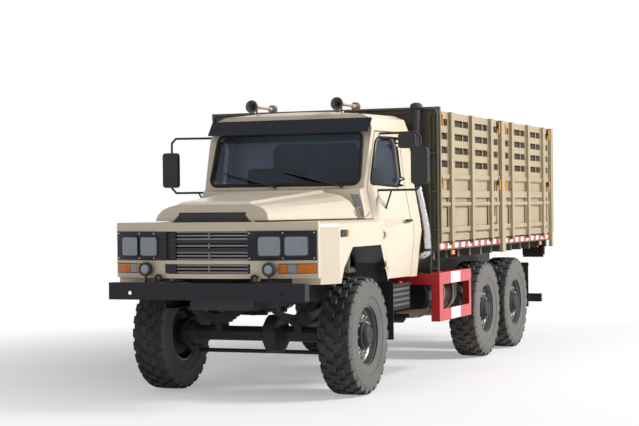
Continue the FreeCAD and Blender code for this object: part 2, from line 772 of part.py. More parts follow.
def through_shaft():
    """Short shaft between the two bogie axles."""
    start = vec(0, MIDDLE_AXLE_Y, TYRE_RADIUS)
    end = vec(0, MIDDLE_AXLE_Y + BOGIE_SPREAD, TYRE_RADIUS)
    return rod(start, end, SHAFT_RADIUS)


# Axles and steering

def diff_housing(x, y, nose_side):
    """Round differential housing about the axle's line, with its nose to the front or rear."""
    centre = vec(x, y, TYRE_RADIUS)
    half = DIFF_WIDTH / 2.0
    profile = [(-half, 0), (-half, AXLE_TUBE_RADIUS), (-half * 0.45, DIFF_RADIUS),
               (half * 0.45, DIFF_RADIUS),
               (half, AXLE_TUBE_RADIUS), (half, 0)]
    drum = turned(profile, centre, X_DIRECTION)
    nose_profile = [(0, 0), (0, DIFF_RADIUS * 0.62), (DIFF_RADIUS, SHAFT_RADIUS * 1.6), (DIFF_RADIUS, 0)]
    return drum.fuse(turned(nose_profile, centre, Y_DIRECTION * nose_side))


def front_axle():
    """Driven front axle: tube, offset differential, ball ends and kingpins."""
    centre_z = TYRE_RADIUS
    tube = rod(vec(-KINGPIN_X, 0, centre_z), vec(KINGPIN_X, 0, centre_z), AXLE_TUBE_RADIUS)
    pieces = [tube, diff_housing(DIFF_OFFSET_X, 0, 1.0)]
    pin_end = BALL_RADIUS + BALL_CLEARANCE + KNUCKLE_WALL
    for side in (-1.0, 1.0):
        centre = vec(side * KINGPIN_X, 0, centre_z)
        pieces.append(ball(centre, BALL_RADIUS))
        pieces.append(rod(centre - vec(0, 0, pin_end), centre + vec(0, 0, pin_end), KINGPIN_RADIUS))
        pieces.append(box(side * SPRING_X - SPRING_WIDTH / 2.0, side * SPRING_X + SPRING_WIDTH / 2.0,
                          -SPRING_WIDTH, SPRING_WIDTH, centre_z, FRONT_SEAT_Z))
    return fused(pieces)


def bowl_profile(radius):
    """Half section of a bowl about the kingpin's middle, open towards the axle."""
    start = math.asin(-KNUCKLE_OVERLAP / radius)
    step = (math.pi / 2.0 - start) / BOWL_FACETS
    outer = radius / math.cos(step / 2.0) / math.cos(math.pi / TURNED_FACETS)
    points = [(-KNUCKLE_OVERLAP, 0.0), (-KNUCKLE_OVERLAP, outer * math.cos(start))]
    for index in range(BOWL_FACETS):
        angle = start + (index + 0.5) * step
        points.append((outer * math.sin(angle), outer * math.cos(angle)))
    return points + [(radius, 0.0)]


def knuckle():
    """Left steering knuckle: shell round the ball, steering arm, brake backplate and spindle."""
    centre = vec(KINGPIN_X, 0, TYRE_RADIUS)
    inner_radius = BALL_RADIUS + BALL_CLEARANCE
    outer_radius = inner_radius + KNUCKLE_WALL
    cavity = turned(bowl_profile(inner_radius), centre, X_DIRECTION)
    shell = turned(bowl_profile(outer_radius), centre, X_DIRECTION).cut(cavity)
    drum_inner_x = TRACK / 2.0 - DRUM_WIDTH / 2.0
    plate = rod(vec(drum_inner_x - DRUM_WALL, 0, TYRE_RADIUS), vec(drum_inner_x, 0, TYRE_RADIUS),
                DRUM_RADIUS,
                TURNED_FACETS)
    spindle = rod(vec(KINGPIN_X + inner_radius + KNUCKLE_WALL / 2.0, 0, TYRE_RADIUS),
                  vec(TRACK / 2.0 + HUB_NOSE - HUB_CAP_DEPTH, 0, TYRE_RADIUS), SPINDLE_RADIUS, TURNED_FACETS)
    arm_bottom = STEER_ARM_Z - STEER_ARM_THICKNESS / 2.0
    arm_top = STEER_ARM_Z + STEER_ARM_THICKNESS / 2.0
    arm = box(KINGPIN_X - STEER_ARM_WIDTH / 2.0, KINGPIN_X + STEER_ARM_WIDTH / 2.0, 0,
              STEER_ARM_LENGTH, arm_bottom, arm_top)
    boss = rod(vec(KINGPIN_X, STEER_ARM_LENGTH, arm_bottom), vec(KINGPIN_X, STEER_ARM_LENGTH, arm_top),
               STEER_ARM_WIDTH / 2.0 / math.cos(math.pi / ROD_FACETS))
    root = rod(vec(KINGPIN_X, 0, arm_bottom), vec(KINGPIN_X, 0, TYRE_RADIUS - BALL_RADIUS), STEER_ARM_WIDTH)
    whole = fused([shell, plate.cut(cavity), spindle, arm, boss, root.cut(cavity)])
    bore_low = vec(KINGPIN_X, 0, arm_bottom - 1.0)
    bore_high = vec(KINGPIN_X, 0, TYRE_RADIUS + outer_radius + KNUCKLE_WALL)
    whole = whole.cut(bore(bore_low, bore_high, KINGPIN_RADIUS))
    return whole.cut(bore(vec(KINGPIN_X, STEER_ARM_LENGTH, arm_bottom - 1.0),
                          vec(KINGPIN_X, STEER_ARM_LENGTH, arm_top + 1.0), TIE_PIN_RADIUS))


def tie_rod():
    """Rod behind the axle with a ball pin up through each steering arm."""
    drop = STEER_ARM_THICKNESS / 2.0 + TIE_ROD_RADIUS + TIE_ROD_GAP
    rod_z = STEER_ARM_Z - drop
    reach = KINGPIN_X + TIE_ROD_RADIUS
    pieces = [rod(vec(-reach, STEER_ARM_LENGTH, rod_z), vec(reach, STEER_ARM_LENGTH, rod_z), TIE_ROD_RADIUS)]
    for side in (-1.0, 1.0):
        foot = vec(side * KINGPIN_X, STEER_ARM_LENGTH, rod_z)
        pieces.append(rod(foot, foot + vec(0, 0, drop + STEER_ARM_THICKNESS / 2.0 + TIE_PIN_PROUD),
                          TIE_PIN_RADIUS))
    return fused(pieces)


def bogie_axle(y):
    """Driven axle of the bogie, with its brake backplates and wheel spindles."""
    drum_inner_x = TRACK / 2.0 - DRUM_WIDTH / 2.0
    tube = rod(vec(-drum_inner_x, y, TYRE_RADIUS), vec(drum_inner_x, y, TYRE_RADIUS), AXLE_TUBE_RADIUS)
    spindle_end = TRACK / 2.0 + HUB_NOSE - HUB_CAP_DEPTH
    spindle = rod(vec(-spindle_end, y, TYRE_RADIUS), vec(spindle_end, y, TYRE_RADIUS), SPINDLE_RADIUS,
                  TURNED_FACETS)
    pieces = [tube, spindle, diff_housing(0, y, -1.0)]
    for side in (-1.0, 1.0):
        plate_x = side * drum_inner_x
        pieces.append(rod(vec(plate_x - side * DRUM_WALL, y, TYRE_RADIUS), vec(plate_x, y, TYRE_RADIUS),
                          DRUM_RADIUS, TURNED_FACETS))
        centre_x = side * SPRING_X
        pieces.append(box(centre_x - SPRING_WIDTH / 2.0, centre_x + SPRING_WIDTH / 2.0, y - SPRING_WIDTH,
                          y + SPRING_WIDTH, TYRE_RADIUS, BOGIE_SEAT_Z))
    return fused(pieces)


def bogie_axles():
    """Middle and rear axle with the shaft between them."""
    return fused([bogie_axle(MIDDLE_AXLE_Y), through_shaft(), bogie_axle(MIDDLE_AXLE_Y + BOGIE_SPREAD)])


def leaf_pack(y, half_length, sag, seat_z, curve_up):
    """Pack of leaves bent to a curve, each leaf shorter than the one before, in one stepped outline."""
    direction = 1.0 if curve_up else -1.0
    steps = []
    for index in range(SPRING_LEAF_COUNT):
        span = half_length * (1.0 - index / (SPRING_LEAF_COUNT + 1.0))
        rise = sag * (span / half_length) ** 2
        for depth in (SPRING_LEAF_COUNT - index, SPRING_LEAF_COUNT - index - 1):
            steps.append((span, seat_z + direction * (depth * SPRING_LEAF + rise)))
    stations = [half_length * (2.0 * step / LEAF_FACETS - 1.0) for step in range(1, LEAF_FACETS)]
    main_z = seat_z + direction * SPRING_LEAF_COUNT * SPRING_LEAF
    main_leaf = [(along, main_z + direction * sag * (along / half_length) ** 2) for along in stations]
    outline = main_leaf + steps + [(0.0, seat_z)] + [(-along, z) for along, z in reversed(steps)]
    return prism_x([(y + along, z) for along, z in outline], SPRING_X - SPRING_WIDTH / 2.0,
                   SPRING_X + SPRING_WIDTH / 2.0)


def front_springs():
    """Front leaf packs on the axle seats, each end held under the rail by a bracket."""
    pack = leaf_pack(0, FRONT_SPRING_HALF, FRONT_SPRING_SAG, FRONT_SEAT_Z, True)
    main_leaf_z = FRONT_SEAT_Z + (SPRING_LEAF_COUNT - 1) * SPRING_LEAF + FRONT_SPRING_SAG
    pieces = [pack]
    for end in (-1.0, 1.0):
        y = end * (FRONT_SPRING_HALF - SPRING_BRACKET_LENGTH / 2.0)
        pieces.append(box(SPRING_X - SPRING_WIDTH / 2.0, SPRING_X + SPRING_WIDTH / 2.0,
                          y - SPRING_BRACKET_LENGTH / 2.0, y + SPRING_BRACKET_LENGTH / 2.0,
                          main_leaf_z - SPRING_LEAF, RAIL_TOP_Z - RAIL_HEIGHT))
    return both_sides(fused(pieces))


def bogie_springs():
    """Inverted leaf packs on a trunnion shaft, with the ends on the axle seats."""
    middle_y = MIDDLE_AXLE_Y + BOGIE_SPREAD / 2.0
    half = BOGIE_SPREAD / 2.0 + SPRING_WIDTH
    top_z = BOGIE_SEAT_Z + BOGIE_SPRING_SAG + SPRING_LEAF_COUNT * SPRING_LEAF
    pack = leaf_pack(middle_y, half, BOGIE_SPRING_SAG, top_z, False)
    clear = box(SPRING_X - SPRING_WIDTH, SPRING_X + SPRING_WIDTH, middle_y - half, middle_y + half,
                BOGIE_SEAT_Z - SPRING_WIDTH, BOGIE_SEAT_Z)
    hub = rod(vec(SPRING_X - SPRING_WIDTH, middle_y, TRUNNION_Z), vec(SPRING_X + SPRING_WIDTH, middle_y,
                                                                      TRUNNION_Z),
              TRUNNION_RADIUS)
    saddle = box(SPRING_X - SPRING_WIDTH / 2.0, SPRING_X + SPRING_WIDTH / 2.0, middle_y - TRUNNION_RADIUS,
                 middle_y + TRUNNION_RADIUS, TRUNNION_Z, top_z - SPRING_LEAF_COUNT * SPRING_LEAF / 2.0)
    return fused([pack.cut(clear), hub, saddle])


def bogie_suspension():
    """Both inverted springs on one trunnion shaft that hangs under the rails."""
    middle_y = MIDDLE_AXLE_Y + BOGIE_SPREAD / 2.0
    left = bogie_springs()
    shaft = rod(vec(-SPRING_X, middle_y, TRUNNION_Z), vec(SPRING_X, middle_y, TRUNNION_Z),
                TRUNNION_RADIUS * 0.7)
    hangers = []
    inner_x = SPRING_X - SPRING_WIDTH / 2.0 - TRUNNION_RADIUS
    for side in (-1.0, 1.0):
        centre_x = side * inner_x
        hangers.append(box(centre_x - HANGER_THICKNESS, centre_x + HANGER_THICKNESS,
                           middle_y - TRUNNION_RADIUS,
                           middle_y + TRUNNION_RADIUS, TRUNNION_Z, RAIL_TOP_Z - RAIL_HEIGHT))
    beam = box(-RAIL_OUTER_X, RAIL_OUTER_X, middle_y - TRUNNION_RADIUS, middle_y + TRUNNION_RADIUS,
               RAIL_TOP_Z - RAIL_HEIGHT - HANGER_THICKNESS, RAIL_TOP_Z - RAIL_HEIGHT)
    return fused([left, mirrored(left), shaft, beam] + hangers)


# Wheels

def tyre(x, y):
    """Tyre with chevron lugs: two rows that meet at the crown, run out over the shoulders of the carcass."""
    centre = vec(x, y, TYRE_RADIUS)
    half = TYRE_WIDTH / 2.0
    bead = RIM_WIDTH / 2.0 - RIM_WALL - FACE_GAP
    side_profile = [(half * 0.95, TYRE_RADIUS * 0.92), (half, TYRE_RADIUS * 0.77),
                    (bead, RIM_FLANGE_RADIUS + FACE_GAP), (bead - TYRE_WALL, BEAD_RADIUS),
                    (half * 0.76, TYRE_RADIUS * 0.87)]
    edge_x = half * 0.84
    crown = tread_ring(x, y, LUG_SHARE)
    polygons = []
    inner_rings = []
    for side in (-1.0, 1.0):
        tread = tread_ring(x + side * edge_x, y, 0.0)
        polygons += band(tread, crown)
        rings = [ring_points(centre + vec(side * along, 0, 0), X_DIRECTION, radius, LUG_COUNT)
                 for along, radius in side_profile]
        polygons += shoulder_band(tread, rings[0])
        for first, second in zip(rings, rings[1:]):
            polygons += band(first, second)
        inner_rings.append(rings[-1])
    polygons += band(inner_rings[0], inner_rings[1])
    return closed_solid(polygons)


def disc_wheel(y):
    """Left wheel: rim with two flanges, dished disc with nuts, hub with its bearing bore."""
    centre = vec(TRACK / 2.0, y, TYRE_RADIUS)
    half = RIM_WIDTH / 2.0
    bead = BEAD_RADIUS - FACE_GAP
    well = bead - RIM_WALL
    disc_front = DISC_OFFSET + DISC_WALL
    rim_profile = [(-half, RIM_FLANGE_RADIUS), (-half + RIM_WALL, RIM_FLANGE_RADIUS),
                   (-half + RIM_WALL, bead),
                   (half - RIM_WALL, bead), (half - RIM_WALL, RIM_FLANGE_RADIUS), (half, RIM_FLANGE_RADIUS),
                   (half, well), (disc_front, well - RIM_WALL), (disc_front, BOLT_CIRCLE_RADIUS + DISC_DISH),
                   (disc_front + DISC_WALL, BOLT_CIRCLE_RADIUS + DISC_DISH / 2.0),
                   (disc_front + DISC_WALL, HUB_RADIUS), (DISC_OFFSET, HUB_RADIUS),
                   (DISC_OFFSET, well - RIM_WALL), (-half, well)]
    bearing = (SPINDLE_RADIUS + BEARING_CLEARANCE) / math.cos(math.pi / TURNED_FACETS)
    step_x = HUB_NOSE - HUB_NOSE_STEP
    bore_end = HUB_NOSE - HUB_CAP_DEPTH + HUB_END_PLAY
    hub_profile = [(HUB_INNER, HUB_RADIUS), (disc_front, HUB_RADIUS), (disc_front, HUB_FLANGE_RADIUS),
                   (step_x, HUB_FLANGE_RADIUS), (step_x + DISC_WALL, HUB_RADIUS),
                   (HUB_NOSE, HUB_RADIUS * 0.85),
                   (HUB_NOSE, 0), (bore_end, 0), (bore_end, bearing), (HUB_INNER, bearing)]
    rim = turned(rim_profile, centre, X_DIRECTION, LUG_COUNT)
    pieces = [turned(hub_profile, centre, X_DIRECTION)]
    for index in range(WHEEL_BOLT_COUNT):
        angle = 2.0 * math.pi * (index + 0.5) / WHEEL_BOLT_COUNT
        foot = centre + vec(disc_front, BOLT_CIRCLE_RADIUS * math.cos(angle),
                            BOLT_CIRCLE_RADIUS * math.sin(angle))
        pieces.append(rod(foot, foot + vec(DISC_WALL + WHEEL_BOLT_PROUD, 0, 0), WHEEL_BOLT_RADIUS,
                          NUT_FACETS))
    return rim.multiFuse(pieces).removeSplitter()


def tread_ring(x, y, shift):
    """Corners round the tread at one station: foot and tip of each lug, moved on by a share of the pitch."""
    pitch = 2.0 * math.pi / LUG_COUNT
    tip = TYRE_RADIUS / math.cos(pitch * LUG_SHARE / 2.0)
    points = []
    for index in range(LUG_COUNT):
        middle = (index + 0.5 + shift) * pitch
        for end, radius in ((-0.5, TYRE_RADIUS - LUG_DEPTH), (-0.5, tip), (0.5, tip),
                            (0.5, TYRE_RADIUS - LUG_DEPTH)):
            angle = middle + end * LUG_SHARE * pitch
            points.append(vec(x, y - radius * math.cos(angle), TYRE_RADIUS - radius * math.sin(angle)))
    return points


def shoulder_band(tread, shoulder):
    """Flat triangles from the lugs' ends down to the shoulder's ring."""
    polygons = []
    for index in range(LUG_COUNT):
        foot = shoulder[index]
        following = (index + 1) % LUG_COUNT
        lug = tread[4 * index:4 * index + 4] + [tread[4 * following]]
        polygons += [[first, second, foot] for first, second in zip(lug, lug[1:])]
        polygons.append([tread[4 * following], shoulder[following], foot])
    return polygons


# Cab

def cab_section(y, half_widths, wall, roof_wall, floor_z):
    """Corners of the cab's cross section at one station, moved in by the wall."""
    sill, waist, flank, belt, gutter = [half - wall for half in half_widths]
    sill += (waist - sill) * (floor_z - SILL_Z) / (WAIST_Z - SILL_Z)
    shoulder = half_widths[-1] - ROOF_SHOULDER_X
    gutter_z = GUTTER_Z - roof_wall / 2.0
    shoulder_z = ROOF_SHOULDER_Z - roof_wall
    round_x = gutter - (gutter - shoulder) * 0.30
    round_z = shoulder_z - (shoulder_z - gutter_z) * 0.28
    left = [(sill, floor_z), (waist, WAIST_Z), (flank, FLANK_Z), (belt, BELT_Z), (gutter, gutter_z),
            (round_x, round_z), (shoulder, shoulder_z),
            (shoulder / 2.0, ROOF_Z - roof_wall - ROOF_CROWN_DROP),
            (0.0, ROOF_Z - roof_wall)]
    right = [(-x, z) for x, z in reversed(left[:-1])]
    return [vec(x, y, z) for x, z in left + right]


def cab_body(wall, roof_wall, floor_z):
    """Cab form between its front and rear sections, moved in by the wall."""
    return skinned([cab_section(CAB_FRONT_Y, FRONT_HALF_WIDTHS, wall, roof_wall, floor_z),
                    cab_section(CAB_REAR_Y, REAR_HALF_WIDTHS, wall, roof_wall, floor_z)])


def cab_profile(front_shift, rear_shift, roof_shift):
    """Side profile of the cab pushed across it: cowl, windscreen slope, roof and rear wall."""
    low_z = SILL_Z - CAB_WALL
    roof_z = ROOF_Z + CAB_WALL
    slope = (WINDSHIELD_HEAD_Y - WINDSHIELD_FOOT_Y) / (WINDSHIELD_HEAD_Z - WINDSHIELD_FOOT_Z)
    rise = ROOF_Z - WINDSHIELD_HEAD_Z
    rear_y = CAB_REAR_Y - rear_shift
    outline = [(CAB_FRONT_Y + front_shift, low_z), (CAB_FRONT_Y + front_shift, FLANK_Z),
               (COWL_Y + front_shift, BELT_Z), (WINDSHIELD_FOOT_Y + front_shift, WINDSHIELD_FOOT_Z),
               (WINDSHIELD_HEAD_Y + front_shift, WINDSHIELD_HEAD_Z),
               (WINDSHIELD_HEAD_Y + front_shift + slope * rise * 0.3, ROOF_Z - roof_shift - rise * 0.6),
               (WINDSHIELD_HEAD_Y + front_shift + slope * rise, ROOF_Z - roof_shift - rise * 0.25),
               (ROOF_FRONT_Y + front_shift, ROOF_Z - roof_shift), (ROOF_FRONT_Y + front_shift, roof_z),
               (rear_y, roof_z), (rear_y, low_z)]
    return prism_x(outline, -GUARD_OUTER_X, GUARD_OUTER_X)


def cab_outer():
    """Outside form of the closed cab."""
    return cab_body(0.0, 0.0, SILL_Z).common(cab_profile(0.0, 0.0, 0.0))


def cab_inner(wall):
    """Inside space of the cab for a given side wall."""
    return cab_body(wall, ROOF_WALL, FLOOR_TOP_Z).common(cab_profile(wall, wall, ROOF_WALL))


def door_outline(gap):
    """Door edge seen from the side, grown by a gap: front edge, top, rear edge, sill and wheel arch."""
    front_y = DOOR_HINGE_Y + DOOR_PIN_MARGIN - gap
    return [(front_y, FLANK_Z),
            (DOOR_BELT_Y - gap, BELT_Z),
            (DOOR_HEAD_Y - gap, DOOR_TOP_Z + gap),
            (DOOR_REAR_Y - DOOR_TOP_CORNER + gap * 0.4, DOOR_TOP_Z + gap),
            (DOOR_REAR_Y + gap, DOOR_TOP_Z - DOOR_TOP_CORNER + gap * 0.4),
            (DOOR_REAR_Y + gap, DOOR_BOTTOM_Z - gap),
            (DOOR_FOOT_Y - gap, DOOR_BOTTOM_Z - gap),
            (front_y, ARCH_TOP_Z)]


def window_outline(shrink):
    """Door window edge seen from the side, drawn in by an amount."""
    slope = (DOOR_HEAD_Y - DOOR_BELT_Y) / (DOOR_TOP_Z - BELT_Z)
    front_low = DOOR_BELT_Y + slope * (WINDOW_BOTTOM_Z - BELT_Z) + WINDOW_BORDER
    front_high = DOOR_BELT_Y + slope * (WINDOW_TOP_Z - BELT_Z) + WINDOW_BORDER
    rear = DOOR_REAR_Y - WINDOW_BORDER
    corner = WINDOW_CORNER
    low = WINDOW_BOTTOM_Z + shrink
    high = WINDOW_TOP_Z - shrink
    return [(front_low + shrink + corner * 0.5, low), (rear - shrink - corner, low),
            (rear - shrink, low + corner),
            (rear - shrink, high - corner), (rear - shrink - corner, high),
            (front_high + shrink + corner * 0.8, high),
            (front_high + shrink - corner * 0.2, high - corner * 0.6),
            (front_low + shrink, low + corner * 0.6)]


def screen_outline(foot_half, head_half, foot_z, head_z, corner):
    """Windscreen edge seen from the front, with cut corners."""
    return [(-foot_half + corner, foot_z), (foot_half - corner, foot_z), (foot_half, foot_z + corner),
            (head_half, head_z - corner), (head_half - corner, head_z), (-head_half + corner, head_z),
            (-head_half, head_z - corner), (-foot_half, foot_z + corner)]


def cab_shell():
    """Whole cab shell with its door, windscreen and rear window openings."""
    shell = cab_outer().cut(cab_inner(CAB_WALL))
    door_hole = prism_x(door_outline(DOOR_GAP), DOOR_INNER_LIMIT_X, GUARD_OUTER_X)
    below_door = prism_x(fender_side_outline(PANEL_GAP), FENDER_INNER_X - PANEL_GAP, GUARD_OUTER_X)
    screen = screen_outline(SCREEN_FOOT_HALF, SCREEN_HEAD_HALF, SCREEN_FOOT_Z, SCREEN_HEAD_Z, SCREEN_CORNER)
    screen_hole = prism_y(screen, WINDSHIELD_FOOT_Y - CAB_WALL, WINDSHIELD_HEAD_Y + 2.0 * CAB_WALL)
    rear = screen_outline(REAR_WINDOW_HALF, REAR_WINDOW_HALF, REAR_WINDOW_BOTTOM_Z, REAR_WINDOW_TOP_Z,
                          SCREEN_CORNER)
    rear_hole = prism_y(rear, CAB_REAR_Y - 2.0 * CAB_WALL, CAB_REAR_Y + 1.0)
    underside = box(-FLOOR_PAN_HALF, FLOOR_PAN_HALF, CAB_FRONT_Y - 1.0, CAB_REAR_Y + 1.0, SILL_Z - 1.0,
                    FLOOR_TOP_Z - FLOOR_THICKNESS)
    for hole in (door_hole, mirrored(door_hole), below_door, mirrored(below_door), screen_hole, rear_hole,
                 underside):
        shell = shell.cut(hole)
    return shell


def cab_panels(shell):
    """The shell parted where the real panels meet: floor, rear wall, roof and front frame."""
    far = GUARD_OUTER_X
    roof_zone = box(-far, far, CAB_FRONT_Y - 1.0, CAB_REAR_Y + 1.0, GUTTER_Z, ROOF_Z + 1.0)
    floor_zone = box(-far, far, CAB_FRONT_Y - 1.0, CAB_REAR_Y + 1.0, SILL_Z - 1.0, FLOOR_TOP_Z + FACE_GAP)
    rear_zone = box(-far, far, DOOR_REAR_Y, CAB_REAR_Y + 1.0, FLOOR_TOP_Z + FACE_GAP, GUTTER_Z)
    front_zone = box(-far, far, CAB_FRONT_Y - 1.0, DOOR_REAR_Y, FLOOR_TOP_Z + FACE_GAP, GUTTER_Z)
    return {"cab_roof": shell.common(roof_zone), "cab_floor": shell.common(floor_zone),
            "cab_rear_wall": shell.common(rear_zone), "cab_front_frame": shell.common(front_zone)}


def cab_mounts():
    """Rubber mounts between the rails and the cab floor."""
    pieces = []
    for station in CAB_MOUNT_STATIONS:
        pieces.append(rod(vec(SPRING_X, station, RAIL_TOP_Z),
                          vec(SPRING_X, station, FLOOR_TOP_Z - FLOOR_THICKNESS), CAB_MOUNT_RADIUS))
    return both_sides(Part.makeCompound(pieces))


def door(side):
    """Door as thick as the cab wall, with its window cut and its outer handle."""
    slab = cab_outer().cut(cab_body(CAB_WALL, ROOF_WALL, SILL_Z - 1.0))
    panel = slab.common(prism_x(door_outline(0.0), DOOR_INNER_LIMIT_X, GUARD_OUTER_X))
    panel = panel.cut(prism_x(window_outline(0.0), DOOR_INNER_LIMIT_X - CAB_WALL, GUARD_OUTER_X))
    handle = rod(vec(HANDLE_X, HANDLE_Y, HANDLE_Z), vec(HANDLE_X, HANDLE_Y + HANDLE_LENGTH, HANDLE_Z),
                 HANDLE_RADIUS)
    for y in (HANDLE_Y + 2.0 * HANDLE_RADIUS, HANDLE_Y + HANDLE_LENGTH - 2.0 * HANDLE_RADIUS):
        stand = rod(vec(HANDLE_X - HANDLE_STAND, y, HANDLE_Z), vec(HANDLE_X, y, HANDLE_Z),
                    HANDLE_RADIUS * 0.7)
        handle = handle.fuse(stand)
    return fused([on_side(panel, side), on_side(handle, side)] + [on_side(strap, side)
                                                                  for strap in door_straps()])


def door_straps():
    """Hinge straps of the left door, each from the door skin forward to a barrel on the pin."""
    straps = []
    for z, rear_y in DOOR_STRAPS:
        centre = vec(DOOR_HINGE_X, DOOR_HINGE_Y, z)
        low = centre - Z_DIRECTION * DOOR_BARREL_HALF
        high = centre + Z_DIRECTION * DOOR_BARREL_HALF
        inner_x = DOOR_HINGE_X - DOOR_STRAP_WALL * 0.6
        strap = box(inner_x, inner_x + DOOR_STRAP_WALL, DOOR_HINGE_Y, rear_y, low.z, high.z)
        pad = box(inner_x - DOOR_STRAP_PAD, inner_x + DOOR_STRAP_WALL, rear_y - DOOR_STRAP_PAD, rear_y,
                  low.z, high.z)
        pin_hole = bore(low - Z_DIRECTION, high + Z_DIRECTION, DOOR_PIN_RADIUS)
        straps.append(fused([rod(low, high, DOOR_BARREL_RADIUS), strap, pad]).cut(pin_hole))
    return straps


def door_pins():
    """Pins of the left door's hinges, each between two lugs that stand on the fender."""
    pieces = []
    for z, _ in DOOR_STRAPS:
        centre = vec(DOOR_HINGE_X, DOOR_HINGE_Y, z)
        near = DOOR_BARREL_HALF + BEARING_CLEARANCE * 10.0
        far = near + DOOR_LUG_HEIGHT
        pieces.append(rod(centre - Z_DIRECTION * far, centre + Z_DIRECTION * far, DOOR_PIN_RADIUS))
        for end in (-1.0, 1.0):
            low_z = min(z + end * near, z + end * far)
            foot = vec(DOOR_HINGE_X, DOOR_HINGE_Y, low_z)
            pieces.append(rod(foot, foot + Z_DIRECTION * DOOR_LUG_HEIGHT, DOOR_BARREL_RADIUS))
            pieces.append(box(FENDER_REAR_X - FENDER_WALL / 2.0, DOOR_HINGE_X + DOOR_PIN_RADIUS,
                              DOOR_LUG_FRONT_Y,
                              DOOR_HINGE_Y, low_z, low_z + DOOR_LUG_HEIGHT))
    return pieces


def door_glass(side):
    """Flat pane inside the door window."""
    middle = cab_body(CAB_WALL / 2.0 - GLASS_THICKNESS / 2.0, ROOF_WALL, FLOOR_TOP_Z)
    inside = cab_body(CAB_WALL / 2.0 + GLASS_THICKNESS / 2.0, ROOF_WALL, FLOOR_TOP_Z)
    pane = middle.cut(inside).common(prism_x(window_outline(FACE_GAP), 0.5 * SCREEN_FOOT_HALF,
                                             GUARD_OUTER_X))
    return on_side(pane, side)


def cab_glass():
    """Windscreen and rear window panes, in the middle of their openings."""
    slope = (WINDSHIELD_HEAD_Y - WINDSHIELD_FOOT_Y) / (WINDSHIELD_HEAD_Z - WINDSHIELD_FOOT_Z)
    outline = screen_outline(SCREEN_FOOT_HALF - FACE_GAP, SCREEN_HEAD_HALF - FACE_GAP,
                             SCREEN_FOOT_Z + FACE_GAP,
                             SCREEN_HEAD_Z - FACE_GAP, SCREEN_CORNER)
    front = prism_y(outline, WINDSHIELD_FOOT_Y - CAB_WALL, WINDSHIELD_HEAD_Y + 2.0 * CAB_WALL)
    foot_y = WINDSHIELD_FOOT_Y + slope * (SCREEN_FOOT_Z - WINDSHIELD_FOOT_Z) + CAB_WALL / 3.0
    head_y = foot_y + slope * (SCREEN_HEAD_Z - SCREEN_FOOT_Z)
    sheet = prism_x([(foot_y, SCREEN_FOOT_Z), (foot_y + GLASS_THICKNESS, SCREEN_FOOT_Z),
                     (head_y + GLASS_THICKNESS, SCREEN_HEAD_Z), (head_y, SCREEN_HEAD_Z)],
                    -SCREEN_FOOT_HALF, SCREEN_FOOT_HALF)
    rear_outline = screen_outline(REAR_WINDOW_HALF - FACE_GAP, REAR_WINDOW_HALF - FACE_GAP,
                                  REAR_WINDOW_BOTTOM_Z + FACE_GAP, REAR_WINDOW_TOP_Z - FACE_GAP,
                                  SCREEN_CORNER)
    rear_y = CAB_REAR_Y - CAB_WALL / 2.0
    return Part.makeCompound([front.common(sheet), prism_y(rear_outline, rear_y, rear_y + GLASS_THICKNESS)])


def sun_visor():
    """Sloping sheet above the windscreen, on brackets to the roof edge."""
    foot = (VISOR_FOOT_Y, VISOR_FOOT_Z)
    head = (VISOR_HEAD_Y, VISOR_HEAD_Z)
    sheet = prism_x([foot, (foot[0] + VISOR_WALL, foot[1]), (head[0] + VISOR_WALL, head[1] - VISOR_WALL),
                     (head[0] + VISOR_WALL, head[1]), (head[0], head[1])], -VISOR_HALF_WIDTH,
                    VISOR_HALF_WIDTH)
    pieces = [sheet]
    cab = cab_outer()
    middle_z = (VISOR_FOOT_Z + VISOR_HEAD_Z) / 2.0
    middle_y = (VISOR_FOOT_Y + VISOR_HEAD_Y) / 2.0
    for x in (-VISOR_BRACKET_X, 0.0, VISOR_BRACKET_X):
        bracket = box(x - VISOR_WALL, x + VISOR_WALL, middle_y + VISOR_WALL / 2.0,
                      WINDSHIELD_HEAD_Y + CAB_WALL,
                      middle_z - VISOR_WALL / 2.0, middle_z + VISOR_WALL / 2.0)
        pieces.append(bracket.cut(cab))
    return fused(pieces)


def roof_horn(x):
    """Trumpet horn: bell in front, tapered tube, driver behind, on two feet."""
    centre = vec(x, HORN_FRONT_Y, HORN_Z)
    profile = [(0, 0), (0, HORN_BELL_RADIUS), (12, HORN_BELL_RADIUS), (45, HORN_BELL_RADIUS * 0.45),
               (110, HORN_TUBE_RADIUS), (HORN_LENGTH - 70, HORN_TUBE_RADIUS * 0.8),
               (HORN_LENGTH - 60, HORN_DRIVER_RADIUS), (HORN_LENGTH - 15, HORN_DRIVER_RADIUS),
               (HORN_LENGTH, HORN_DRIVER_RADIUS * 0.5), (HORN_LENGTH, 0)]
    pieces = [turned(profile, centre, Y_DIRECTION)]
    for along in (HORN_FRONT_FOOT, HORN_LENGTH - HORN_REAR_FOOT):
        pieces.append(rod(vec(x, HORN_FRONT_Y + along, HORN_PAD_Z), vec(x, HORN_FRONT_Y + along, HORN_Z),
                          HORN_FOOT_RADIUS))
    return fused(pieces)


def horn_pads():
    """Flat pads on the roof under the feet of the horns."""
    pieces = []
    for x in (-HORN_X, HORN_X):
        for along in (HORN_FRONT_FOOT, HORN_LENGTH - HORN_REAR_FOOT):
            y = HORN_FRONT_Y + along
            pieces.append(box(x - 2.0 * HORN_FOOT_RADIUS, x + 2.0 * HORN_FOOT_RADIUS,
                              y - 2.0 * HORN_FOOT_RADIUS,
                              y + 2.0 * HORN_FOOT_RADIUS, ROOF_Z - ROOF_WALL, HORN_PAD_Z))
    return pieces


def roof_horns():
    """Two horns on the roof."""
    return Part.makeCompound([roof_horn(-HORN_X), roof_horn(HORN_X)])


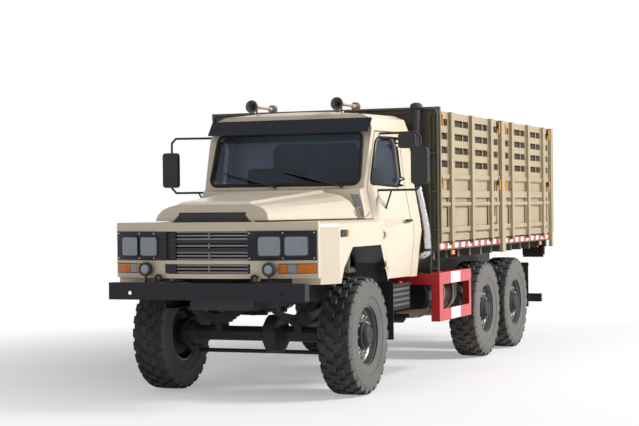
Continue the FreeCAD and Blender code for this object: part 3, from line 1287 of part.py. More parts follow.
def seats():
    """Driver and passenger seat, each a cushion with a backrest on a base."""
    rear_y = SEAT_FRONT_Y + SEAT_DEPTH
    low_x = SEAT_X - SEAT_WIDTH / 2.0
    high_x = SEAT_X + SEAT_WIDTH / 2.0
    cushion = box(low_x, high_x, SEAT_FRONT_Y, rear_y, SEAT_TOP_Z - SEAT_HEIGHT, SEAT_TOP_Z)
    back = box(low_x, high_x, rear_y - BACKREST_THICKNESS, rear_y, SEAT_TOP_Z, SEAT_TOP_Z + BACKREST_HEIGHT)
    base = box(low_x + SEAT_BASE_INSET, high_x - SEAT_BASE_INSET, SEAT_FRONT_Y + SEAT_BASE_INSET,
               rear_y - SEAT_BASE_INSET, FLOOR_TOP_Z + FACE_GAP, SEAT_TOP_Z - SEAT_HEIGHT)
    return both_sides(fused([cushion, back, base]))


def dashboard():
    """Dashboard across the cab with the steering column."""
    half = FRONT_HALF_WIDTHS[3] - 2.0 * CAB_WALL
    front_y = CAB_FRONT_Y + CAB_WALL + FACE_GAP
    top_y = front_y + (COWL_Y - CAB_FRONT_Y) * (DASH_TOP_Z - FLANK_Z) / (BELT_Z - FLANK_Z)
    panel = prism_x([(front_y, DASH_BOTTOM_Z), (DASH_REAR_Y - DASH_SLOPE, DASH_BOTTOM_Z),
                     (DASH_REAR_Y, DASH_TOP_Z - DASH_SLOPE), (DASH_REAR_Y - DASH_SLOPE, DASH_TOP_Z),
                     (top_y, DASH_TOP_Z), (front_y, FLANK_Z)], -half, half)
    hub = vec(STEERING_WHEEL_X, STEERING_WHEEL_Y, STEERING_WHEEL_Z)
    axis = steering_axis()
    column = rod(hub - axis * COLUMN_LENGTH, hub - axis * COLUMN_GAP, COLUMN_RADIUS)
    bracket = box(STEERING_WHEEL_X - COLUMN_RADIUS, STEERING_WHEEL_X + COLUMN_RADIUS, front_y + CAB_WALL,
                  STEERING_WHEEL_Y - COLUMN_BRACKET_Y, DASH_BOTTOM_Z - COLUMN_RADIUS,
                  DASH_BOTTOM_Z + COLUMN_RADIUS)
    return fused([panel, column, bracket])


def steering_axis():
    """Direction from the column up to the driver."""
    tilt = math.radians(COLUMN_TILT)
    return vec(0, math.sin(tilt), math.cos(tilt))


def steering_wheel():
    """Steering wheel with three spokes and a boss."""
    hub = vec(STEERING_WHEEL_X, STEERING_WHEEL_Y, STEERING_WHEEL_Z)
    axis = steering_axis()
    middle = STEERING_WHEEL_RADIUS - STEERING_RIM_RADIUS
    rim = []
    for index in range(NUT_FACETS):
        angle = 2.0 * math.pi * index / NUT_FACETS
        rim.append((STEERING_RIM_RADIUS * math.sin(angle), middle + STEERING_RIM_RADIUS * math.cos(angle)))
    foot = hub - axis * (COLUMN_GAP - FACE_GAP)
    pieces = [turned(rim, hub, axis, RIM_FACETS), rod(foot, foot + axis * (COLUMN_GAP * 1.5),
                                                      COLUMN_RADIUS * 1.6)]
    across = axis.cross(X_DIRECTION)
    for angle in SPOKE_ANGLES:
        turn = math.radians(angle)
        outward = X_DIRECTION * math.cos(turn) + across * math.sin(turn)
        pieces.append(rod(hub, hub + outward * middle, SPOKE_RADIUS))
    return fused(pieces)


def mirror(side):
    """Mirror frame bent out from the door edge, with a rounded head on its outer tube."""
    top_foot = vec(MIRROR_TOP_FOOT_X, MIRROR_FRAME_Y + MIRROR_TOP_RAKE, MIRROR_TOP_Z)
    low_foot = vec(MIRROR_LOW_FOOT_X, MIRROR_FRAME_Y, MIRROR_BOTTOM_Z)
    points = [top_foot, vec(MIRROR_OUTER_X - MIRROR_BEND, MIRROR_FRAME_Y, MIRROR_TOP_Z),
              vec(MIRROR_OUTER_X, MIRROR_FRAME_Y, MIRROR_TOP_Z - MIRROR_BEND),
              vec(MIRROR_OUTER_X, MIRROR_FRAME_Y, MIRROR_BOTTOM_Z + MIRROR_BEND),
              vec(MIRROR_OUTER_X - MIRROR_BEND, MIRROR_FRAME_Y, MIRROR_BOTTOM_Z), low_foot]
    strut_top = vec(MIRROR_STRUT_X, MIRROR_FRAME_Y, MIRROR_BOTTOM_Z)
    strut_foot = vec(MIRROR_STRUT_X - MIRROR_STRUT_LEAN, MIRROR_FRAME_Y + MIRROR_STRUT_RAKE,
                     MIRROR_BOTTOM_Z - MIRROR_STRUT_DROP)
    head = round_outline(MIRROR_OUTER_X - MIRROR_HEAD_WIDTH / 2.0, MIRROR_OUTER_X + MIRROR_HEAD_WIDTH / 2.0,
                         MIRROR_HEAD_Z - MIRROR_HEAD_HEIGHT / 2.0, MIRROR_HEAD_Z + MIRROR_HEAD_HEIGHT / 2.0,
                         MIRROR_HEAD_ROUND)
    front_y = MIRROR_FRAME_Y - MIRROR_HEAD_DEPTH
    pieces = [bent_rod(points, MIRROR_TUBE_RADIUS), rod(strut_top, strut_foot, MIRROR_TUBE_RADIUS * 0.8),
              prism_y(head, front_y, MIRROR_FRAME_Y + MIRROR_TUBE_RADIUS * 0.8)]
    if side == "left":
        low = round_outline(LOW_MIRROR_INNER_X, LOW_MIRROR_INNER_X + LOW_MIRROR_WIDTH,
                            MIRROR_TOP_Z - LOW_MIRROR_HEIGHT, MIRROR_TOP_Z - MIRROR_TUBE_RADIUS / 2.0,
                            MIRROR_HEAD_ROUND)
        pieces.append(prism_y(low, front_y, MIRROR_FRAME_Y))
    whole = fused(pieces).cut(cab_outer())
    whole = max(whole.Solids, key=lambda solid: solid.Volume)
    return on_side(whole, side)


# Bonnet, fenders and front panel

def bonnet_section(y, half, panel_half, side_z, crown_z, wall):
    """Corners of the bonnet's cross section: side, round shoulder and the raised middle."""
    x = half - wall
    top = crown_z - wall
    rise = top - BONNET_RAISE - side_z
    left = [(x, side_z - wall), (x, side_z + BONNET_EDGE), (x * 0.965, side_z + rise * 0.40),
            (x * 0.90, side_z + rise * 0.66), (x * 0.80, side_z + rise * 0.84),
            (x * 0.70, side_z + rise * 0.93),
            (panel_half + 1.5 * BONNET_RAISE, side_z + rise * 0.97),
            (panel_half, side_z + rise + BONNET_RAISE * 0.8),
            (panel_half / 2.0, top - BONNET_RAISE * 0.1), (0.0, top)]
    return [vec(px, y, z) for px, z in left + [(-px, z) for px, z in reversed(left[:-1])]]


def bonnet_form(wall):
    """Outer form of the bonnet, moved in by the wall."""
    form = skinned([bonnet_section(BONNET_FRONT_Y + wall, BONNET_FRONT_HALF, SCOOP_HALF_WIDTH, BONNET_SIDE_Z,
                                   BONNET_FRONT_CROWN_Z, wall),
                    bonnet_section(BONNET_REAR_Y - wall, BONNET_REAR_HALF, BONNET_PANEL_REAR_HALF,
                                   BONNET_SIDE_Z,
                                   BONNET_REAR_CROWN_Z, wall)])
    lean = BONNET_CROWN_Y - BONNET_FRONT_Y
    nose = prism_x([(BONNET_FRONT_Y - 1.0, BONNET_LIP_Z - wall), (BONNET_FRONT_Y + wall,
                                                                  BONNET_LIP_Z - wall),
                    (BONNET_FRONT_Y + wall + lean * 0.55, BONNET_FRONT_CROWN_Z - BONNET_RAISE - wall),
                    (BONNET_FRONT_Y + wall + lean * 1.6, BONNET_FRONT_CROWN_Z + BONNET_RAISE),
                    (BONNET_FRONT_Y - 1.0, BONNET_FRONT_CROWN_Z + BONNET_RAISE)], -BONNET_REAR_HALF,
                   BONNET_REAR_HALF)
    return form.cut(nose)


def bonnet():
    """Bonnet shell with its air slot over the grille, open below."""
    shell = bonnet_form(0.0).cut(bonnet_form(BONNET_WALL))
    slot = box(-SCOOP_HALF_WIDTH, SCOOP_HALF_WIDTH, BONNET_FRONT_Y - 1.0, BONNET_CROWN_Y,
               BONNET_LIP_Z + SCOOP_LIP, BONNET_LIP_Z + SCOOP_LIP + SCOOP_HEIGHT)
    return shell.cut(slot)


def fender_side_outline(gap):
    """Outer edge of the fender seen from the side, grown by a gap towards the cab."""
    door_gap = DOOR_GAP - gap
    rear_y = DOOR_HINGE_Y + DOOR_PIN_MARGIN - door_gap
    return [(FENDER_FRONT_Y, FENDER_TOP_Z + gap), (rear_y, FENDER_TOP_Z + gap), (rear_y, ARCH_TOP_Z),
            (DOOR_FOOT_Y - door_gap, FENDER_REAR_BOTTOM_Z - gap),
            (FENDER_FRONT_Y, FENDER_REAR_BOTTOM_Z - gap)]


def bonnet_edge_x(y, gap):
    """Half width of the bonnet side at a station, grown by a gap."""
    share = (y - BONNET_FRONT_Y) / (BONNET_REAR_Y - BONNET_FRONT_Y)
    return BONNET_FRONT_HALF + share * (BONNET_REAR_HALF - BONNET_FRONT_HALF) + gap


def arch_profile(grow, bottom_z):
    """Wheel arch opening about the front axle as (y, z) points."""
    return [(-ARCH_HALF_BOTTOM - grow, bottom_z), (-ARCH_HALF_SHOULDER - grow, ARCH_SHOULDER_Z + 0.5 * grow),
            (-ARCH_HALF_TOP - 0.4 * grow, ARCH_TOP_Z + grow), (ARCH_HALF_TOP + 0.4 * grow,
                                                               ARCH_TOP_Z + grow),
            (ARCH_HALF_SHOULDER + grow, ARCH_SHOULDER_Z + 0.5 * grow), (ARCH_HALF_BOTTOM + grow, bottom_z)]


def fender():
    """Left fender: rounded top and side skin over the wheel arch, with the arch liner."""
    plan = [(FENDER_INNER_X, FENDER_FRONT_Y), (FENDER_FRONT_X, FENDER_FRONT_Y),
            (FENDER_OUTER_X, FENDER_SHOULDER_Y),
            (FENDER_OUTER_X, FENDER_BULGE_END_Y), (FENDER_REAR_X, DOOR_HINGE_Y),
            (FENDER_REAR_X, DOOR_FOOT_Y),
            (FENDER_INNER_X, DOOR_FOOT_Y)]
    block = prism_z(plan, FENDER_REAR_BOTTOM_Z, FENDER_TOP_Z)
    outer_top = [edge for edge in block.Edges if min(v.Z for v in edge.Vertexes) > FENDER_TOP_Z - 1.0
                 and min(v.X for v in edge.Vertexes) > FENDER_FRONT_X - 1.0]
    block = block.makeFillet(FENDER_ROUND, outer_top)
    block = block.common(prism_x(fender_side_outline(0.0), FENDER_INNER_X - 1.0, FENDER_OUTER_X + 1.0))
    nose_low = box(FENDER_INNER_X - 1.0, FENDER_OUTER_X + 1.0, FENDER_FRONT_Y - 1.0, 0.0,
                   FENDER_REAR_BOTTOM_Z - 1.0, FENDER_BOTTOM_Z)
    shelf = prism_z([(bonnet_edge_x(FENDER_FRONT_Y, PANEL_GAP), FENDER_FRONT_Y),
                     (FENDER_INNER_X, FENDER_FRONT_Y),
                     (FENDER_INNER_X, bonnet_shelf_y())],
                    FENDER_TOP_Z - FENDER_WALL, FENDER_TOP_Z)
    firewall_y = CAB_FRONT_Y - PANEL_GAP
    side_x = FENDER_REAR_X - FENDER_WALL
    low_z = ARCH_TOP_Z + FENDER_WALL
    high_z = FENDER_TOP_Z - FENDER_WALL
    pocket = prism_z([(FENDER_INNER_X - 1.0, FENDER_FRONT_Y + FENDER_WALL), (PANEL_END_X - FENDER_WALL,
                                                                             FENDER_FRONT_Y + FENDER_WALL),
                      (FENDER_OUTER_X - FENDER_WALL, FENDER_SHOULDER_Y), (FENDER_OUTER_X - FENDER_WALL,
                                                                          FENDER_BULGE_END_Y),
                      (side_x, DOOR_HINGE_Y - 2.0 * FENDER_WALL), (FENDER_INNER_X + FENDER_WALL,
                                                                   DOOR_HINGE_Y - 2.0 * FENDER_WALL),
                      (FENDER_INNER_X + FENDER_WALL, firewall_y), (FENDER_INNER_X - 1.0, firewall_y)],
                     low_z, high_z)
    arch = prism_x(arch_profile(0.0, FENDER_REAR_BOTTOM_Z - 1.0), FENDER_INNER_X - 1.0, FENDER_OUTER_X + 1.0)
    body = block.cut(nose_low).cut(pocket).cut(arch)
    return fused([body, shelf] + door_pins())


def bonnet_shelf_y():
    """Station where the bonnet side reaches the fender's inner edge."""
    share = (FENDER_INNER_X - BONNET_FRONT_HALF - PANEL_GAP) / (BONNET_REAR_HALF - BONNET_FRONT_HALF)
    return BONNET_FRONT_Y + share * (BONNET_REAR_Y - BONNET_FRONT_Y)


def bow_points(inset, y_shift):
    """Points of the bowed front seen from above, from the right end to the left."""
    half = PANEL_END_X - inset
    depth = PANEL_END_Y - PANEL_CENTRE_Y
    points = []
    for index in range(BOW_FACETS + 1):
        share = 2.0 * index / BOW_FACETS - 1.0
        points.append((half * share, PANEL_CENTRE_Y + y_shift + depth * share ** 2))
    return points


def bowed_plate(front_shift, rear_shift, low_z, high_z):
    """Plate that follows the bowed front between two depths and two heights, in flats."""
    outline = bow_points(0.0, front_shift) + list(reversed(bow_points(0.0, rear_shift)))
    return prism_z(outline, low_z, high_z)


def front_panel():
    """Bowed front panel with the grille opening, a bar across it and returns to the fenders."""
    panel = bowed_plate(0.0, PANEL_WALL, PANEL_BOTTOM_Z, FENDER_TOP_Z)
    far_y = PANEL_CENTRE_Y - PANEL_WALL
    upper = box(-GRILLE_HALF_WIDTH, GRILLE_HALF_WIDTH, far_y, PANEL_END_Y, GRILLE_BAR_Z + GRILLE_BAR_HEIGHT,
                GRILLE_TOP_Z)
    lower = box(-GRILLE_HALF_WIDTH, GRILLE_HALF_WIDTH, far_y, PANEL_END_Y, GRILLE_BOTTOM_Z, GRILLE_BAR_Z)
    panel = panel.cut(upper).cut(lower)
    corner = box(PANEL_END_X - PANEL_WALL, PANEL_END_X, PANEL_END_Y, FENDER_FRONT_Y - PANEL_GAP,
                 PANEL_BOTTOM_Z, FENDER_TOP_Z)
    top = prism_z(bow_points(PANEL_WALL, PANEL_WALL / 2.0), FENDER_TOP_Z - FENDER_WALL, FENDER_TOP_Z)
    inner_x = GRILLE_HALF_WIDTH - GRILLE_SIDE_GAP + FACE_GAP
    outer_x = RAIL_OUTER_X - RAIL_WALL
    stay = fused([box(inner_x, outer_x, PANEL_END_Y - PANEL_WALL, PANEL_END_Y, RAIL_TOP_Z,
                      PANEL_BOTTOM_Z + PANEL_WALL),
                  box(inner_x, outer_x, PANEL_CENTRE_Y + PANEL_WALL, PANEL_END_Y, PANEL_BOTTOM_Z,
                      PANEL_BOTTOM_Z + PANEL_WALL)])
    buffer = box(inner_x, inner_x + BUFFER_WIDTH, BONNET_FRONT_Y, BONNET_FRONT_Y + BONNET_WALL, FENDER_TOP_Z,
                 BONNET_SIDE_Z - FACE_GAP)
    stays = [stay, mirrored(stay), buffer, mirrored(buffer)]
    return fused([panel, corner, mirrored(corner), top] + stays)


def grille():
    """Set back grille: two stacks of slats on three uprights."""
    slat_y = PANEL_CENTRE_Y + GRILLE_RECESS
    half = GRILLE_HALF_WIDTH - GRILLE_SIDE_GAP
    pieces = []
    for low, high in ((GRILLE_BAR_Z + GRILLE_BAR_HEIGHT, GRILLE_TOP_Z), (GRILLE_BOTTOM_Z, GRILLE_BAR_Z)):
        count = int((high - low - SLAT_HEIGHT) // SLAT_PITCH) + 1
        start = (low + high - (count - 1) * SLAT_PITCH) / 2.0
        for index in range(count):
            z = start + index * SLAT_PITCH
            pieces.append(box(-half, half, slat_y, slat_y + SLAT_DEPTH, z - SLAT_HEIGHT / 2.0,
                              z + SLAT_HEIGHT / 2.0))
    for x in (-half, -UPRIGHT_WIDTH / 2.0, half - UPRIGHT_WIDTH):
        pieces.append(box(x, x + UPRIGHT_WIDTH, slat_y + SLAT_DEPTH / 2.0, slat_y + SLAT_DEPTH * 1.5,
                          GRILLE_BOTTOM_Z + FACE_GAP, GRILLE_TOP_Z - FACE_GAP))
    for z in (GRILLE_TOP_Z + UPRIGHT_WIDTH / 2.0, GRILLE_BOTTOM_Z - UPRIGHT_WIDTH / 2.0):
        pieces.append(box(-half, half, slat_y + SLAT_DEPTH / 2.0, slat_y + SLAT_DEPTH * 1.5,
                          z - UPRIGHT_WIDTH, z + UPRIGHT_WIDTH))
    return fused(pieces)


def rounded_bar(x_low, x_high, z_low, z_high, corner, y_low, y_high):
    """Upright block with rounded corners, seen from the front."""
    return prism_y(round_outline(x_low, x_high, z_low, z_high, corner), y_low, y_high)


def lamp_panel():
    """Dark panel with two round cornered head lamps, the signal lamp below and the fog lamp."""
    plate = bowed_plate(-LAMP_PANEL_PROUD, -FACE_GAP, LAMP_PANEL_BOTTOM_Z, LAMP_PANEL_TOP_Z)
    keep = box(LAMP_PANEL_INNER_X, LAMP_PANEL_OUTER_X, -2.0 * abs(PANEL_CENTRE_Y), 0.0, LAMP_PANEL_BOTTOM_Z,
               LAMP_PANEL_TOP_Z)
    pieces = [plate.common(keep)]
    far_y = -2.0 * abs(PANEL_CENTRE_Y)
    body = bowed_plate(-LAMP_PROUD, -FACE_GAP, LAMP_PANEL_BOTTOM_Z, LAMP_PANEL_TOP_Z)
    for x in (LAMP_INNER_X, LAMP_OUTER_X):
        shape = rounded_bar(x - LAMP_HALF_WIDTH, x + LAMP_HALF_WIDTH, LAMP_Z - LAMP_HALF_HEIGHT,
                            LAMP_Z + LAMP_HALF_HEIGHT, LAMP_CORNER, far_y, 0.0)
        pieces.append(body.common(shape))
    return fused(pieces)


def signal_lamp():
    """Turn signal lamp on the bowed front below the head lamps."""
    body = bowed_plate(-LAMP_PANEL_PROUD, -FACE_GAP, SIGNAL_BOTTOM_Z, SIGNAL_TOP_Z)
    shape = rounded_bar(SIGNAL_INNER_X, SIGNAL_OUTER_X, SIGNAL_BOTTOM_Z, SIGNAL_TOP_Z, LAMP_CORNER / 2.0,
                        -2.0 * abs(PANEL_CENTRE_Y), 0.0)
    return body.common(shape)


def fog_lamp():
    """Round fog lamp on its stem over the bumper."""
    y = BUMPER_FRONT_Y + BUMPER_DEPTH / 2.0
    profile = [(-FOG_LAMP_FRONT, 0), (-FOG_LAMP_FRONT, FOG_LAMP_RADIUS * 0.87),
               (-0.7 * FOG_LAMP_FRONT, FOG_LAMP_RADIUS), (FOG_LAMP_REAR / 2.0, FOG_LAMP_RADIUS),
               (FOG_LAMP_REAR, FOG_LAMP_RADIUS * 0.55), (FOG_LAMP_REAR, 0)]
    return turned(profile, vec(FOG_LAMP_X, y, FOG_LAMP_Z), Y_DIRECTION)


def front_lamps():
    """All lamps of the front, as separate solids."""
    pieces = [lamp_panel(), signal_lamp(), fog_lamp()]
    return Part.makeCompound(pieces + [mirrored(piece) for piece in pieces])


# Side equipment

def fuel_tanks():
    """Round tank on each side with two straps to the rail."""
    profile = [(0, 0), (0, TANK_RADIUS - TANK_END_ROUND), (TANK_END_ROUND * 0.3,
                                                           TANK_RADIUS - TANK_END_ROUND * 0.3),
               (TANK_END_ROUND, TANK_RADIUS), (TANK_LENGTH - TANK_END_ROUND, TANK_RADIUS),
               (TANK_LENGTH - TANK_END_ROUND * 0.3, TANK_RADIUS - TANK_END_ROUND * 0.3),
               (TANK_LENGTH, TANK_RADIUS - TANK_END_ROUND), (TANK_LENGTH, 0)]
    pieces = [turned(profile, vec(TANK_X, TANK_FRONT_Y, TANK_Z), Y_DIRECTION, RIM_FACETS)]
    for share in (0.2, 0.8):
        y = TANK_FRONT_Y + TANK_LENGTH * share
        pieces.append(rod(vec(TANK_X, y, TANK_Z), vec(TANK_X, y + STRAP_WIDTH, TANK_Z),
                          TANK_RADIUS + STRAP_WALL,
                          RIM_FACETS))
        pieces.append(box(RAIL_OUTER_X, TANK_X, y, y + STRAP_WIDTH, TANK_Z + STRAP_ARM_LOW,
                          TANK_Z + STRAP_ARM_HIGH))
    return both_sides(fused(pieces))


def battery_box():
    """Battery box under the cab's left side, on the rail."""
    rear_y = BATTERY_FRONT_Y + BATTERY_LENGTH
    body = box(BATTERY_INNER_X, BATTERY_OUTER_X, BATTERY_FRONT_Y, rear_y, BATTERY_BOTTOM_Z, BATTERY_TOP_Z)
    lid = box(BATTERY_INNER_X - BATTERY_LID, BATTERY_OUTER_X + BATTERY_LID, BATTERY_FRONT_Y - BATTERY_LID,
              rear_y + BATTERY_LID, BATTERY_TOP_Z - 2.0 * BATTERY_LID, BATTERY_TOP_Z)
    arm = box(RAIL_OUTER_X, BATTERY_INNER_X, BATTERY_FRONT_Y + BATTERY_LENGTH / 4.0,
              rear_y - BATTERY_LENGTH / 4.0,
              BATTERY_TOP_Z - 3.0 * BATTERY_LID, BATTERY_TOP_Z - 2.0 * BATTERY_LID)
    return fused([body, lid, arm])


def steps():
    """Step plate under each door on two arms from the rail."""
    inner_x = STEP_OUTER_X - STEP_WIDTH
    plate = box(inner_x, STEP_OUTER_X, STEP_FRONT_Y, STEP_FRONT_Y + STEP_LENGTH,
                STEP_TOP_Z - STEP_THICKNESS, STEP_TOP_Z)
    pieces = [plate]
    for y in (STEP_FRONT_Y + STEP_ARM_WIDTH, STEP_FRONT_Y + STEP_LENGTH - 2.0 * STEP_ARM_WIDTH):
        pieces.append(box(RAIL_OUTER_X - RAIL_FLANGE, inner_x, y, y + STEP_ARM_WIDTH,
                          STEP_TOP_Z - STEP_THICKNESS,
                          STEP_TOP_Z - STEP_THICKNESS / 4.0))
        pieces.append(box(RAIL_OUTER_X - RAIL_FLANGE, RAIL_OUTER_X, y, y + STEP_ARM_WIDTH,
                          STEP_TOP_Z - STEP_THICKNESS, RAIL_TOP_Z - RAIL_HEIGHT))
    return both_sides(fused(pieces))


def side_guards():
    """Folded sheet guard with one window on each side, on two arms to the tank's level."""
    inner_x = GUARD_OUTER_X - GUARD_DEPTH
    rear_y = GUARD_FRONT_Y + GUARD_LENGTH
    outer = box(inner_x, GUARD_OUTER_X, GUARD_FRONT_Y, rear_y, GUARD_BOTTOM_Z, GUARD_TOP_Z)
    tray = box(inner_x - 1.0, GUARD_OUTER_X - GUARD_WALL, GUARD_FRONT_Y + GUARD_WALL, rear_y - GUARD_WALL,
               GUARD_BOTTOM_Z + GUARD_WALL, GUARD_TOP_Z - GUARD_WALL)
    window = box(inner_x - 1.0, GUARD_OUTER_X + 1.0, GUARD_FRONT_Y + GUARD_BORDER,
                 rear_y - GUARD_BORDER * 0.6,
                 GUARD_BOTTOM_Z + GUARD_BORDER, GUARD_TOP_Z - GUARD_BORDER)
    pieces = [outer.cut(tray).cut(window)]
    for y in (GUARD_FRONT_Y, rear_y - GUARD_WALL):
        pieces.append(box(RAIL_OUTER_X, inner_x, y, y + GUARD_WALL, GUARD_TOP_Z - GUARD_BORDER,
                          GUARD_TOP_Z - GUARD_WALL))
    return both_sides(fused(pieces))


def mudflaps():
    """Flap behind each front wheel and behind the bogie, hung from an arm on the rail."""
    pieces = []
    rear_flap_y = MIDDLE_AXLE_Y + BOGIE_SPREAD + TYRE_RADIUS + FLAP_REAR_GAP
    for y in (FLAP_FRONT_Y, rear_flap_y):
        flap = box(FLAP_INNER_X, FLAP_OUTER_X, y, y + FLAP_THICKNESS, FLAP_BOTTOM_Z, RAIL_TOP_Z - FLAP_DROP)
        arm = rod(vec(RAIL_OUTER_X, y + 2.0 * FLAP_THICKNESS, RAIL_TOP_Z - FLAP_DROP - 3.0 * FLAP_THICKNESS),
                  vec(FLAP_OUTER_X, y + 2.0 * FLAP_THICKNESS, RAIL_TOP_Z - FLAP_DROP - 3.0 * FLAP_THICKNESS),
                  2.0 * FLAP_THICKNESS)
        pieces.append(fused([flap, arm]))
    return both_sides(Part.makeCompound(pieces))


# Cargo body

def bed_deck():
    """Deck plate with a raised floor sheet, cross bearers and two long sills on the rails."""
    plate_rear_y = BODY_REAR_Y - GATE_RIB_DEPTH - GATE_GAP
    pieces = [box(-DECK_HALF_WIDTH, DECK_HALF_WIDTH, BODY_FRONT_Y, plate_rear_y, DECK_BOTTOM_Z, DECK_TOP_Z),
              box(-DECK_HALF_WIDTH + FLOOR_SHEET_INSET, DECK_HALF_WIDTH - FLOOR_SHEET_INSET,
                  BODY_FRONT_Y + FLOOR_SHEET_INSET, plate_rear_y - FLOOR_SHEET_INSET, DECK_TOP_Z,
                  DECK_TOP_Z + FLOOR_SHEET)]
    low = RAIL_TOP_Z + SILL_BEAM_HEIGHT
    count = int((BODY_REAR_Y - BODY_FRONT_Y - BEARER_PITCH) // BEARER_PITCH) + 1
    for index in range(count + 1):
        y = BODY_FRONT_Y + BEARER_WIDTH + index * BEARER_PITCH
        pieces.append(box(-DECK_HALF_WIDTH + BEARER_WIDTH, DECK_HALF_WIDTH - BEARER_WIDTH, y,
                          y + BEARER_WIDTH,
                          low, DECK_BOTTOM_Z))
    for side in (-1.0, 1.0):
        centre = side * (RAIL_OUTER_X - SILL_BEAM_WIDTH / 2.0)
        pieces.append(box(centre - SILL_BEAM_WIDTH / 2.0, centre + SILL_BEAM_WIDTH / 2.0, BODY_FRONT_Y,
                          RAIL_REAR_Y, RAIL_TOP_Z, low))
    return fused(pieces + gate_pins())


def headboard():
    """Front wall of the cargo body with upright ribs, and the ladder at its left corner."""
    rear_y = BODY_FRONT_Y + HEADBOARD_THICKNESS
    wall = box(-BODY_HALF_WIDTH, BODY_HALF_WIDTH, BODY_FRONT_Y + GATE_SHEET / 2.0, rear_y, DECK_TOP_Z,
               HEADBOARD_TOP_Z)
    pieces = [wall]
    spacing = 2.0 * (BODY_HALF_WIDTH - GATE_RIB_WIDTH) / (HEADBOARD_RIB_COUNT - 1)
    for index in range(HEADBOARD_RIB_COUNT):
        x = -BODY_HALF_WIDTH + GATE_RIB_WIDTH / 2.0 + index * spacing
        pieces.append(box(x, x + GATE_RIB_WIDTH, BODY_FRONT_Y, BODY_FRONT_Y + GATE_SHEET, DECK_TOP_Z,
                          HEADBOARD_TOP_Z))
    pieces.append(box(-BODY_HALF_WIDTH, BODY_HALF_WIDTH, BODY_FRONT_Y, rear_y,
                      HEADBOARD_TOP_Z - GATE_FRAME_WIDTH,
                      HEADBOARD_TOP_Z))
    pieces += ladder_pieces()
    return fused(pieces)


def ladder_pieces():
    """Two uprights and rungs, standing off the headboard on short stays."""
    y = BODY_FRONT_Y - LADDER_GAP
    pieces = []
    for x in (LADDER_INNER_X, LADDER_OUTER_X):
        pieces.append(rod(vec(x, y, LADDER_BOTTOM_Z), vec(x, y, LADDER_TOP_Z), LADDER_TUBE_RADIUS))
        for z in (DECK_TOP_Z + GATE_FRAME_WIDTH, LADDER_TOP_Z - LADDER_TUBE_RADIUS):
            pieces.append(rod(vec(x, y, z), vec(x, BODY_FRONT_Y + GATE_SHEET, z), LADDER_TUBE_RADIUS * 0.9))
    count = int((LADDER_TOP_Z - LADDER_FIRST_RUNG_Z) // LADDER_RUNG_PITCH) + 1
    for index in range(count):
        z = LADDER_FIRST_RUNG_Z + index * LADDER_RUNG_PITCH
        pieces.append(rod(vec(LADDER_INNER_X, y, z), vec(LADDER_OUTER_X, y, z), LADDER_TUBE_RADIUS * 0.9))
    return pieces


def gate_spans():
    """Front and rear end of the two gates on each side."""
    first = BODY_FRONT_Y + CORNER_POST_WIDTH + GATE_GAP
    last = rear_post_low() - GATE_GAP
    middle = (BODY_FRONT_Y + BODY_REAR_Y) / 2.0
    return {"front": (first, middle - CENTRE_POST_WIDTH / 2.0 - GATE_GAP),
            "rear": (middle + CENTRE_POST_WIDTH / 2.0 + GATE_GAP, last)}


def rear_post_low():
    """Front face of the rear posts, which stand just ahead of the tailgate."""
    return BODY_REAR_Y - GATE_RIB_DEPTH - GATE_SHEET - GATE_GAP - CORNER_POST_WIDTH


def bed_posts():
    """Corner and centre posts with their feet, and the eyes of the gate hinges."""
    inner_x = BODY_HALF_WIDTH - GATE_SHEET - GATE_RIB_DEPTH
    middle = (BODY_FRONT_Y + BODY_REAR_Y) / 2.0
    rear_low = rear_post_low()
    rear_high = rear_low + CORNER_POST_WIDTH
    front_low = BODY_FRONT_Y + HEADBOARD_THICKNESS + FACE_GAP
    front = box(inner_x, BODY_HALF_WIDTH, front_low, BODY_FRONT_Y + CORNER_POST_WIDTH, DECK_TOP_Z,
                GATE_TOP_Z)
    centre = box(inner_x, BODY_HALF_WIDTH, middle - CENTRE_POST_WIDTH / 2.0,
                 middle + CENTRE_POST_WIDTH / 2.0,
                 DECK_TOP_Z, GATE_TOP_Z)
    foot = box(DECK_HALF_WIDTH, BODY_HALF_WIDTH, middle - CENTRE_POST_WIDTH / 2.0,
               middle + CENTRE_POST_WIDTH / 2.0,
               CENTRE_POST_FOOT_Z, DECK_TOP_Z)
    rear = box(inner_x, BODY_HALF_WIDTH, rear_low, rear_high, DECK_TOP_Z, GATE_TOP_Z)
    rear_foot = box(DECK_HALF_WIDTH, BODY_HALF_WIDTH, rear_low, rear_high, CENTRE_POST_FOOT_Z, DECK_TOP_Z)
    pieces = [front, fused([centre, foot]), fused([rear, rear_foot])]
    return both_sides(Part.makeCompound(pieces))


